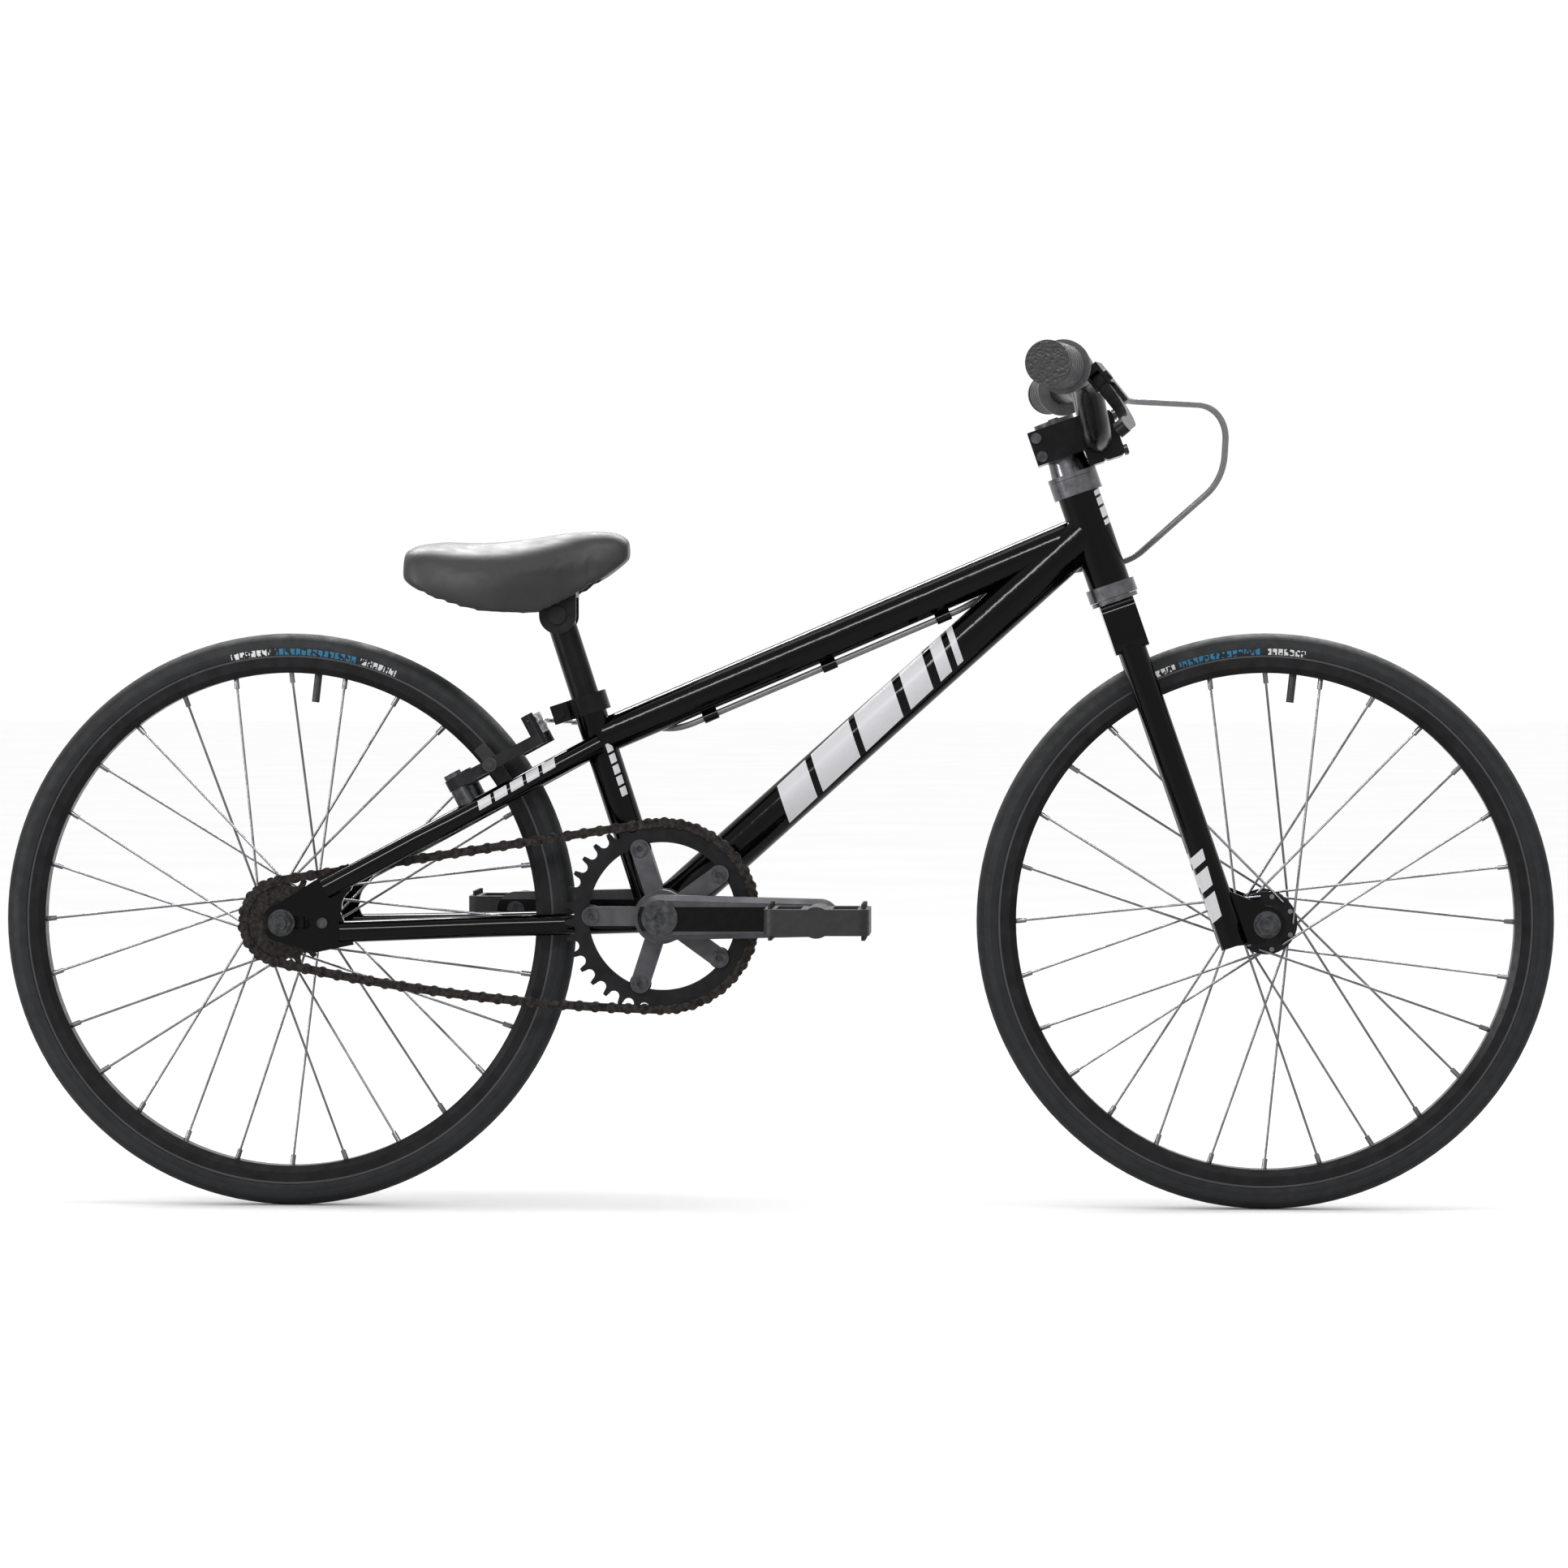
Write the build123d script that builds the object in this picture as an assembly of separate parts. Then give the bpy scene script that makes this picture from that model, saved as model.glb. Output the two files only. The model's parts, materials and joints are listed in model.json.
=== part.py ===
"""Micro BMX race bike: 18 inch class wheels, rear linear-pull brake, one gear.

Millimetres. +X is forward, +Y is the rider's left, +Z is up. The origin is on the ground,
midway between the two axles. The drive side is the rider's right, on -Y.
"""
import os
from math import acos, asin, atan2, ceil, cos, degrees, pi, radians, sin, sqrt, tan

from build123d import *

# ---------------------------------------------------------------- overall sizes
WHEELBASE = 764.0
WHEEL_RADIUS = 225.0
CRANK_AXIS_HEIGHT = 230.0
HEAD_ANGLE = 71.0
SEAT_ANGLE = 72.0
FORK_RAKE = 29.0
FORK_LENGTH = 274.0
BAR_HALF_WIDTH = 259.0
BAR_RISE = 47.0
RUNNING_GAP = 0.05
FIT_GAP = 0.02
SIDE_GAP = 0.3

# ---------------------------------------------------------------- drive train
CHAIN_PITCH = 12.7
CHAIN_LINKS = 73
CHAINRING_TEETH = 36
COG_TEETH = 16
CHAIN_SAG = 7.0
CHAIN_LINE = 41.0
CHAIN_INNER_WIDTH = 3.4
CHAIN_PLATE = 1.1
CHAIN_PLATE_GAP = 0.1
CHAIN_PLATE_RADIUS = 4.2
CHAIN_ROLLER_RADIUS = 3.85
CHAIN_PIN_RADIUS = 1.8
CHAIN_PIN_CLEARANCE = 0.15
CHAIN_PIN_OVERHANG = 0.5
TOOTH_CLEARANCE = 0.25
TOOTH_HEIGHT = 3.6
TOOTH_FLANK_SPREAD = 1.6
SPROCKET_THICKNESS = 2.6

CRANK_LENGTH = 124.0
CRANK_ARM_THICKNESS = 14.0
CRANK_ARM_OUTER = 72.0
CRANK_BOSS_RADIUS = 17.5
CRANK_END_RADIUS = 14.5
CRANK_BEVEL = 4.0
CRANK_BOLT_RADIUS = 14.0
CRANK_BOLT_THICKNESS = 3.0
SPINDLE_RADIUS = 9.5
SPINDLE_TAPER_HALF = 6.6
RING_BOLT_CIRCLE = 55.0
RING_BOLT_COUNT = 5
RING_INNER_RADIUS = 57.5
RING_TAB_RADIUS = 8.5
RING_BOLT_RADIUS = 4.0
RING_BOLT_HEAD_RADIUS = 6.0
RING_BOLT_HEAD = 1.8
SPIDER_THICKNESS = 5.0
SPIDER_HUB_RADIUS = 21.0
SPIDER_ARM_WIDTH = 15.0

PEDAL_AXLE_RADIUS = 6.0
PEDAL_THREAD_RADIUS = 7.0
PEDAL_WIDTH = 70.0
PEDAL_LENGTH = 80.0
PEDAL_THICKNESS = 20.0
PEDAL_INNER = 78.0
PEDAL_RAIL = 9.0
PEDAL_BARREL_RADIUS = 12.0
PEDAL_PIN_RADIUS = 1.6
PEDAL_PIN_HEIGHT = 4.0

# ---------------------------------------------------------------- frame tubes
DOWN_TUBE_HEIGHT = 34.6
DOWN_TUBE_WIDTH = 31.4
TOP_TUBE_HEIGHT = 27.6
TOP_TUBE_WIDTH = 24.8
TUBE_WALL = 1.6
HEAD_TUBE_RADIUS = 16.5
HEAD_TUBE_BORE = 14.6
HEAD_TUBE_LENGTH = 74.4
HEAD_JOINT_DROP = 29.0
SEAT_TUBE_RADIUS = 12.7
SEAT_TUBE_LENGTH = 180.0
SEAT_TUBE_SETBACK = 8.0
TOP_TUBE_SEAT_HEIGHT = 144.5
SEAT_POST_RADIUS = 11.1
DOWN_TUBE_DROP = 2.0
SHELL_RADIUS = 20.0
SHELL_HALF_LENGTH = 34.0
SHELL_BORE = 17.0
SHELL_CUP_FLANGE = 2.5
CHAINSTAY_RADIUS = 8.5
CHAINSTAY_BEND = 155.0
CHAINSTAY_BEND_SPREAD = 30.5
CHAINSTAY_FRONT_SPREAD = 22.5
CHAINSTAY_DROP = 7.0
SEATSTAY_RADIUS = 8.0
SEATSTAY_FRONT_SPREAD = 15.0
SEATSTAY_REAR_SPREAD = 61.5
SEATSTAY_BEND = 95.0
SEATSTAY_BEND_SPREAD = 53.0
SEATSTAY_BEND_RADIUS = 150.0
SEATSTAY_BRIDGE_SHIFT = 72.0
SEATSTAY_BRIDGE_RADIUS = 6.0
DROPOUT_THICKNESS = 5.0
DROPOUT_STAY_INSET = 10.0
REAR_HUB_WIDTH = 110.0
FRONT_HUB_WIDTH = 100.0
AXLE_RADIUS = 5.0
AXLE_OVERHANG = 4.0
NUT_ACROSS_FLATS = 15.0
NUT_THICKNESS = 7.0
WASHER_RADIUS = 10.5
WASHER_THICKNESS = 2.0
TENSIONER_FORWARD = 32.0
TENSIONER_RADIUS = 2.5
TENSIONER_HEAD_RADIUS = 4.2
TENSIONER_HEAD = 3.0

# ---------------------------------------------------------------- wheels
TYRE_HALF_WIDTH = 13.2
TYRE_WALL = 2.6
RIM_INNER_RADIUS = 194.0
RIM_BED = 3.0
RIM_OUTER_RADIUS = 208.0
RIM_HALF_WIDTH = 11.0
RIM_WALL = 2.0
SPOKE_COUNT = 28
SPOKE_CROSSES = 3
SPOKE_RADIUS = 0.95
SPOKE_OUTER_BOW = 1.8
NIPPLE_RADIUS = 2.0
NIPPLE_LENGTH = 12.0
NIPPLE_HOLE_RADIUS = 2.6
SPOKE_RIM_OFFSET = 2.0
HUB_FLANGE_RADIUS = 24.5
HUB_HOLE_RADIUS = 21.0
HUB_FLANGE_THICKNESS = 3.5
HUB_FLANGE_OFFSET = 25.0
HUB_BARREL_RADIUS = 14.0
HUB_NECK_RADIUS = 16.0
BEARING_RADIUS = 12.0
BEARING_WIDTH = 8.0
VALVE_RADIUS = 3.0
VALVE_LENGTH = 22.0
FREEWHEEL_CORE_RADIUS = 19.0
FREEWHEEL_BODY_RADIUS = 25.0
FREEWHEEL_WIDTH = 13.0

# ---------------------------------------------------------------- fork and headset
STEERER_RADIUS = 12.7
LOWER_STACK = 14.3
HEADSET_CUP_RADIUS = 19.5
LOWER_CUP_HEIGHT = 10.6
UPPER_CUP_HEIGHT = 13.4
CROWN_HEIGHT = 40.0
CROWN_DEPTH = 27.0
CROWN_EDGE = 2.0
CROWN_CORNER = 8.0
STEERER_BORE = 10.7
STEERER_DROP = 3.0
FORK_LEG_RADIUS = 10.8
FORK_LEG_SPREAD_TOP = 40.0
FORK_LEG_SPREAD_END = 53.0
FORK_LEG_BELOW_AXLE = 8.0
FORK_DROPOUT_THICKNESS = 5.0
FORK_LEG_WALL = 2.0
FORK_TIP_RADIUS = 14.0
AXLE_SLOT_GAP = 0.15
COVER_HEIGHT = 3.4
TAPER_FOOT_RADIUS = 16.0
TAPER_TOP_RADIUS = 14.6

# ---------------------------------------------------------------- stem, bar and lever
STEM_CENTRE = 118.2
STEM_HEIGHT = 27.0
STEM_HALF_WIDTH = 22.0
STEM_REAR = 22.7
STEM_FRONT = 12.0
BAR_CLAMP_FORWARD = 27.5
BAR_CLAMP_DROP = 8.0
CLAMP_HALF_HEIGHT = 18.5
FACEPLATE_DEPTH = 17.0
FACE_BOLT_SPREAD = 14.0
FACE_BOLT_RISE = 14.4
STEM_SLIT = 1.5
STEM_BOLT_RADIUS = 2.5
STEM_BOLT_HEAD_RADIUS = 4.2
STEM_BOLT_HEAD = 3.0
STEM_BOLT_LENGTH = 30.0
PINCH_BOLT_RISE = 7.5
PINCH_BOLT_BACK = 17.5
TOP_CAP_RADIUS = 16.0
TOP_CAP_HEIGHT = 3.5
TOP_BOLT_LENGTH = 30.0
BAR_RADIUS = 11.1
BAR_WALL = 2.0
BAR_BEND_START = 46.0
BAR_RISER_TOP = 104.0
BAR_RISER_SETBACK = 10.0
BAR_BACKSWEEP = 28.0
BAR_BEND_RADIUS = 55.0
GRIP_LENGTH = 66.0
GRIP_RADIUS = 16.0
GRIP_FLANGE_RADIUS = 20.5
GRIP_FLANGE = 4.0
GRIP_CAP = 3.0
GRIP_END_LIP = 0.8
GRIP_RIBS = 9
GRIP_RIB_START = 6.0
GRIP_RIB_PITCH = 6.0
GRIP_RIB_WIDTH = 3.0
GRIP_RIB_HEIGHT = 0.8
LEVER_ANGLE = 51.0
LEVER_CLAMP_INSET = 104.0
LEVER_CLAMP_WIDTH = 12.0
LEVER_CLAMP_WALL = 4.0
LEVER_PIVOT_REACH = 20.0
LEVER_ANCHOR_REACH = 36.0
LEVER_OFFSET = 11.0
LEVER_THICKNESS = 8.0
LEVER_HALF_WIDTH = 5.0
LEVER_HUB_RADIUS = 6.5
LEVER_CHEEK = 2.5
LEVER_BLOCK_END = 20.0
LEVER_LINE = ((20, 0), (36, -2), (54, -18), (64, -42), (66, -66), (71, -90))
ADJUSTER_LENGTH = 18.0
ADJUSTER_RADIUS = 5.0
ADJUSTER_SOCKET = 8.0
HOUSING_ENTRY = 5.0
LEVER_PIN_RADIUS = 2.5

# ---------------------------------------------------------------- rear brake
BOSS_ALONG_STAY = 128.0
BOSS_SPREAD = 42.0
BOSS_RADIUS = 7.5
ARM_OFFSET = 25.0
ARM_THICKNESS = 9.0
ARM_HUB_RADIUS = 8.0
ARM_LENGTH = 72.0
ARM_WIDTH = 10.0
ARM_TOP_SPREAD = 33.0
PIVOT_STUD_RADIUS = 4.0
PIVOT_HEAD_RADIUS = 7.0
PIVOT_HEAD = 3.5
PAD_REACH = 30.0
PAD_GAP = 1.6
PAD_HALF_HEIGHT = 4.0
PAD_HALF_ANGLE = 5.0
PAD_COLLAR_RADIUS = 5.5
PAD_THICKNESS = 6.0
PAD_HOLDER_THICKNESS = 3.0
PAD_POST_RADIUS = 3.0
NOODLE_RADIUS = 2.3
NOODLE_BORE = 1.3
NOODLE_OFFSET = 41.0
NOODLE_TIP = 14.0
NOODLE_SPREAD = 52.0
NOODLE_REACH = 26.0
NOODLE_DIP = 30.0
NOODLE_BEND = 16.0
LINK_HALF = 5.0
FERRULE_LENGTH = 8.0
FERRULE_WALL = 0.9
FERRULE_ENTRY = 2.0
WIRE_TAIL = 12.0
BOOT_LENGTH = 26.0
BOOT_RADIUS = 4.0
INNER_CABLE_RADIUS = 0.8
HOUSING_RADIUS = 2.5
GUIDE_WALL = 1.6
GUIDE_LENGTH = 12.0
GUIDE_PLACES = (88.0, 189.0, 286.0)
CABLE_LEAD = 36.0
CABLE_LOOP_FORWARD = 130.0
CABLE_LOOP_HIGH = 100.0
CABLE_LOOP_LOW = 48.0
CABLE_HEAD_SIDE = 24.0
CABLE_BENDS = [30, 32, 50, 35, 30, 30, 30, 60, 30]

# ---------------------------------------------------------------- saddle and post
POST_LENGTH = 150.0
POST_EXPOSED = 66.0
POST_HEAD_RADIUS = 10.0
POST_HEAD_HALF = 11.2
CLAMP_HEIGHT = 15.0
CLAMP_WALL = 4.0
CLAMP_LUG = 16.0
CLAMP_LUG_HALF = 7.0
SADDLE_BOLT_RADIUS = 4.0
BRACKET_RADIUS = 14.5
BRACKET_CHEEK = 3.0
SADDLE_PAD = 5.0
SADDLE_BASE_FLOOR = 40.0
SADDLE_BLOCK_RISE = 50.0
SADDLE_STATIONS = (
    (-176, 36, 0, 14),
    (-172, 46, -6, 22),
    (-160, 53, -13, 25),
    (-130, 56, -25, 24.5),
    (-100, 50, -30, 25),
    (-75, 39, -30, 28),
    (-50, 28, -20, 32),
    (-25, 21, -5, 35),
    (-8, 18, 6, 33),
    (0, 13, 13, 27),
)

# ================================================================ derived layout
REAR_X = -WHEELBASE / 2
FRONT_X = WHEELBASE / 2
SIDES = (-1, 1)
LOW = (Align.CENTER, Align.CENTER, Align.MIN)


def pitch_radius(teeth):
    """Radius of the circle through the chain pins on a sprocket."""
    return CHAIN_PITCH / (2 * sin(pi / teeth))


RING_PITCH_RADIUS = pitch_radius(CHAINRING_TEETH)
COG_PITCH_RADIUS = pitch_radius(COG_TEETH)


def chain_layout(centres):
    """Chain loop for a centre distance, in a frame with the cog at the origin and the ring on +X.

    The loop is a straight upper run, an arc round each sprocket, and one wide arc for the
    slack lower run, which touches both pitch circles from outside.
    """
    sag_radius = centres**2 / (8 * CHAIN_SAG)
    upper_angle = pi / 2 + asin((RING_PITCH_RADIUS - COG_PITCH_RADIUS) / centres)
    to_cog = sag_radius - COG_PITCH_RADIUS
    to_ring = sag_radius - RING_PITCH_RADIUS
    sag_x = (to_cog**2 - to_ring**2 + centres**2) / (2 * centres)
    sag_z = sqrt(to_cog**2 - sag_x**2)
    ring_end = atan2(-sag_z, centres - sag_x)
    cog_start = atan2(-sag_z, -sag_x)
    runs = (
        (upper_angle - ring_end) * CHAINRING_TEETH / (2 * pi),
        sag_radius * (ring_end - cog_start) / CHAIN_PITCH,
        (cog_start - upper_angle + 2 * pi) * COG_TEETH / (2 * pi),
        sqrt(centres**2 - (RING_PITCH_RADIUS - COG_PITCH_RADIUS) ** 2) / CHAIN_PITCH,
    )
    return upper_angle, ring_end, cog_start, (sag_x, sag_z, sag_radius), runs


def solve_centres():
    """Centre distance at which the loop holds the whole number of links."""
    low = CHAIN_PITCH * (CHAIN_LINKS / 2 - CHAINRING_TEETH / 2)
    high = CHAIN_PITCH * CHAIN_LINKS / 2
    for _ in range(60):
        middle = (low + high) / 2
        if sum(chain_layout(middle)[4]) < CHAIN_LINKS:
            low = middle
        else:
            high = middle
    return middle


CENTRES = solve_centres()
CRANK_RISE = CRANK_AXIS_HEIGHT - WHEEL_RADIUS
CRANK_X = REAR_X + sqrt(CENTRES**2 - CRANK_RISE**2)
LINE_TILT = asin(CRANK_RISE / CENTRES)

REAR_AXLE = Vector(REAR_X, 0, WHEEL_RADIUS)
FRONT_AXLE = Vector(FRONT_X, 0, WHEEL_RADIUS)
CRANK_AXIS = Vector(CRANK_X, 0, CRANK_AXIS_HEIGHT)

HEAD_UP = Vector(-cos(radians(HEAD_ANGLE)), 0, sin(radians(HEAD_ANGLE)))
HEAD_FORWARD = Vector(sin(radians(HEAD_ANGLE)), 0, cos(radians(HEAD_ANGLE)))
STEER_FOOT = FRONT_AXLE - HEAD_FORWARD * FORK_RAKE
HEAD_BASE = FORK_LENGTH + LOWER_STACK
HEAD_FRAME = Plane(origin=STEER_FOOT + HEAD_UP * HEAD_BASE, x_dir=HEAD_FORWARD, z_dir=HEAD_UP)

SEAT_UP = Vector(-cos(radians(SEAT_ANGLE)), 0, sin(radians(SEAT_ANGLE)))
SEAT_FORWARD = Vector(sin(radians(SEAT_ANGLE)), 0, cos(radians(SEAT_ANGLE)))
SEAT_FOOT = CRANK_AXIS - Vector(SEAT_TUBE_SETBACK, 0, 0)
SEAT_FRAME = Plane(origin=SEAT_FOOT, x_dir=SEAT_FORWARD, z_dir=SEAT_UP)

HEAD_JOINT = STEER_FOOT + HEAD_UP * (HEAD_BASE + HEAD_TUBE_LENGTH - HEAD_JOINT_DROP)
SEAT_JOINT = SEAT_FOOT + SEAT_UP * TOP_TUBE_SEAT_HEIGHT
SEAT_TOP = SEAT_FOOT + SEAT_UP * SEAT_TUBE_LENGTH

DROPOUT_INNER = REAR_HUB_WIDTH / 2
DROPOUT_MIDDLE = DROPOUT_INNER + DROPOUT_THICKNESS / 2
STAY_REAR = REAR_AXLE + Vector(34, 0, 26)
STAY_FRONT = SEAT_FOOT + SEAT_UP * (TOP_TUBE_SEAT_HEIGHT - 4)
STAY_RUN = (STAY_FRONT - STAY_REAR).normalized()
STAY_NORMAL = Vector(-STAY_RUN.Z, 0, STAY_RUN.X)
BRAKE_FRAME = Plane(origin=STAY_REAR + STAY_RUN * BOSS_ALONG_STAY, x_dir=STAY_RUN, z_dir=STAY_NORMAL)

BAR_CLAMP_HEIGHT = STEM_CENTRE - BAR_CLAMP_DROP
BAR_CENTRE = HEAD_FRAME.from_local_coords(Vector(BAR_CLAMP_FORWARD, 0, BAR_CLAMP_HEIGHT))
HEAD_FORWARD_AXIS = Axis((0, 0, 0), HEAD_FORWARD)
NOODLE_DOWN = radians(NOODLE_DIP)
NOODLE_RUN = STAY_RUN * cos(NOODLE_DOWN) - STAY_NORMAL * sin(NOODLE_DOWN)
NOODLE_ELBOW = BRAKE_FRAME.from_local_coords(Vector(ARM_LENGTH, NOODLE_SPREAD, NOODLE_OFFSET))
NOODLE_END = NOODLE_ELBOW + NOODLE_RUN * NOODLE_REACH
SADDLE_PIVOT = Vector(0, 0, SEAT_TUBE_LENGTH + POST_EXPOSED)
SADDLE_ORIGIN = Vector(REAR_X + 268.0, 0, 495.0)

parts = {}


def keep(name, *solids):
    """Store a node made of one or more separate solids."""
    pieces = [s for shape in solids for s in shape.solids()]
    parts[name] = pieces[0] if len(pieces) == 1 else Compound(pieces)


def along(start, end):
    """Plane at start whose Z runs to end, with its Y as near as can be to +Y."""
    run = end - start
    across = Vector(0, 1, 0).cross(run)
    if across.length < 1e-6:
        across = Vector(1, 0, 0)
    return Plane(origin=start, x_dir=across, z_dir=run)


def rod(start, end, radius):
    """Round bar between two points."""
    return along(start, end).location * Cylinder(radius, (end - start).length, align=LOW)


def pipe(start, end, radius, bore):
    """Round tube between two points."""
    return rod(start, end, radius) - rod(start, end, bore)


def oval_bar(start, end, height, width):
    """Bar of oval section, its height in the plane of the frame."""
    return extrude(along(start, end) * Ellipse(height / 2, width / 2), (end - start).length)


def oval_tube(start, end, height, width, wall):
    """Oval bar with its core removed."""
    return oval_bar(start, end, height, width) - oval_bar(
        start, end, height - 2 * wall, width - 2 * wall
    )


def side_plane(centre, y):
    """Plane facing the rider's right, with local X forward and local Y up."""
    return Plane(origin=(centre.X, y, centre.Z), x_dir=(1, 0, 0), z_dir=(0, -1, 0))


def polygon(*corners):
    """Closed outline from its corners, whichever way round they are given."""
    pairs = zip(corners, corners[1:] + corners[:1])
    area = sum(a[0] * b[1] - b[0] * a[1] for a, b in pairs)
    return Polygon(*(corners if area > 0 else corners[::-1]), align=None)


def slab(plane, outline, depth):
    """Flat piece cut to an outline, which runs from its plane along the plane's normal."""
    return extrude(plane * outline, depth, dir=plane.z_dir)


def disc(centre, radius, y_low, y_high):
    """Round slice about an axis along Y."""
    return rod(Vector(centre.X, y_low, centre.Z), Vector(centre.X, y_high, centre.Z), radius)


def ring(centre, radius, bore, y_low, y_high):
    """Round slice with a bore."""
    return disc(centre, radius, y_low, y_high) - disc(centre, bore, y_low, y_high)


def hex_nut(centre, flats, bore, y_low, y_high):
    """Hexagonal nut about an axis along Y."""
    plane = side_plane(centre, y_high)
    blank = slab(plane, RegularPolygon(flats / 2, 6, major_radius=False), y_high - y_low)
    return blank - disc(centre, bore, y_low, y_high)


def mirrored(shape):
    """The same piece on the other side of the bike."""
    return mirror(shape, about=Plane.XZ)


# ================================================================ chain and sprockets
def chain_point(pitches):
    """Place on the loop, in mm from the cog's centre, for a distance counted in links."""
    upper_angle, ring_end, cog_start, sag, runs = chain_layout(CENTRES)
    on_ring, on_sag, on_cog, on_top = runs
    if pitches <= on_ring:
        angle = upper_angle - pitches * 2 * pi / CHAINRING_TEETH
        return CENTRES + RING_PITCH_RADIUS * cos(angle), RING_PITCH_RADIUS * sin(angle)
    pitches -= on_ring
    if pitches <= on_sag:
        angle = ring_end - pitches * CHAIN_PITCH / sag[2]
        return sag[0] + sag[2] * cos(angle), sag[1] + sag[2] * sin(angle)
    pitches -= on_sag
    if pitches <= on_cog:
        angle = cog_start - pitches * 2 * pi / COG_TEETH
        return COG_PITCH_RADIUS * cos(angle), COG_PITCH_RADIUS * sin(angle)
    share = (pitches - on_cog) / on_top
    cog_pin = COG_PITCH_RADIUS * cos(upper_angle), COG_PITCH_RADIUS * sin(upper_angle)
    ring_pin = (
        CENTRES + RING_PITCH_RADIUS * cos(upper_angle),
        RING_PITCH_RADIUS * sin(upper_angle),
    )
    return tuple(a + (b - a) * share for a, b in zip(cog_pin, ring_pin))


def chain_pin(index):
    """Centre of one chain pin on the bike, in the chain's plane."""
    x, z = chain_point(index % CHAIN_LINKS)
    turn = LINE_TILT
    return Vector(
        REAR_X + x * cos(turn) - z * sin(turn),
        -CHAIN_LINE,
        WHEEL_RADIUS + x * sin(turn) + z * cos(turn),
    )


def sprocket_outline(teeth, tooth_angle):
    """Toothed disc with a valley centred at tooth_angle."""
    radius = pitch_radius(teeth)
    valley = CHAIN_ROLLER_RADIUS + TOOTH_CLEARANCE
    reach = TOOTH_HEIGHT + 1.4
    opening = polygon(
        (0, -valley),
        (reach, -valley - TOOTH_FLANK_SPREAD),
        (reach, valley + TOOTH_FLANK_SPREAD),
        (0, valley),
    )
    spots = PolarLocations(radius, teeth, start_angle=tooth_angle)
    gaps = [place * (Circle(valley) + opening) for place in spots]
    return Circle(radius + TOOTH_HEIGHT) - gaps


def link_plate(inner):
    """One pair of link plates from the pin at the origin to the pin one pitch along X."""
    near = CHAIN_INNER_WIDTH / 2 if inner else CHAIN_INNER_WIDTH / 2 + CHAIN_PLATE + CHAIN_PLATE_GAP
    outline = link_outline()
    hole = CHAIN_PIN_RADIUS + CHAIN_PIN_CLEARANCE
    if inner:
        outline = outline - Circle(hole) - Pos(CHAIN_PITCH, 0) * Circle(hole)
    pair = [
        slab(side_plane(Vector(0, 0, 0), high), outline, CHAIN_PLATE)
        for high in (near + CHAIN_PLATE, -near)
    ]
    return pair


def link_outline():
    """Waisted outline of a link plate."""
    waist = Pos(CHAIN_PITCH / 2, 0) * Rectangle(CHAIN_PITCH, CHAIN_PLATE_RADIUS * 1.5)
    return Circle(CHAIN_PLATE_RADIUS) + Pos(CHAIN_PITCH, 0) * Circle(CHAIN_PLATE_RADIUS) + waist


def roller(x):
    """Roller and bush in one, with its bore."""
    half = CHAIN_INNER_WIDTH / 2
    hub = Vector(x, 0, 0)
    return ring(hub, CHAIN_ROLLER_RADIUS, CHAIN_PIN_RADIUS + CHAIN_PIN_CLEARANCE, -half, half)


def pin(x):
    """Chain pin right through the outer plates."""
    half = CHAIN_INNER_WIDTH / 2 + 2 * CHAIN_PLATE + CHAIN_PLATE_GAP + CHAIN_PIN_OVERHANG
    return disc(Vector(x, 0, 0), CHAIN_PIN_RADIUS, -half, half)


def inner_link():
    """Two plates and two rollers."""
    left, right = link_plate(True)
    return left + right + roller(0) + roller(CHAIN_PITCH)


def outer_link():
    """Two plates and two pins."""
    left, right = link_plate(False)
    return left + right + pin(0) + pin(CHAIN_PITCH)


def half_link():
    """Cranked link: a roller at the near end, a pin at the far end."""
    near = CHAIN_INNER_WIDTH / 2
    shift = CHAIN_PLATE + CHAIN_PLATE_GAP
    ends = CHAIN_PLATE_RADIUS
    crank = CHAIN_PITCH / 2
    bend = 1.6
    profile = polygon(
        (-ends, near),
        (crank - bend, near),
        (crank + bend, near + shift),
        (CHAIN_PITCH + ends, near + shift),
        (CHAIN_PITCH + ends, near + shift + CHAIN_PLATE),
        (crank + bend, near + shift + CHAIN_PLATE),
        (crank - bend, near + CHAIN_PLATE),
        (-ends, near + CHAIN_PLATE),
    )
    bar = extrude(profile, CHAIN_PLATE_RADIUS, both=True)
    hole = CHAIN_PIN_RADIUS + CHAIN_PIN_CLEARANCE
    outline = extrude(side_plane(Vector(0, 0, 0), 0) * link_outline(), 20, both=True)
    plate = (bar & outline) - disc(Vector(0, 0, 0), hole, -20, 20)
    return plate + mirrored(plate) + roller(0) + pin(CHAIN_PITCH)


def build_chain():
    """All the links, each its own solid, laid round the loop."""
    patterns = [inner_link(), outer_link(), half_link()]
    links = []
    for index in range(CHAIN_LINKS):
        start = chain_pin(index)
        run = chain_pin(index + 1) - start
        place = Plane(origin=start, x_dir=run, z_dir=Vector(0, 1, 0).cross(run) * -1)
        kind = 2 if index == CHAIN_LINKS - 1 else index % 2
        links.append(place.location * patterns[kind])
    keep("chain", *links)


def valley_angle(centre, index):
    """Angle, in degrees, at which a sprocket holds the given chain pin."""
    spot = chain_pin(index)
    return degrees(atan2(spot.Z - centre.Z, spot.X - centre.X))


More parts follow.
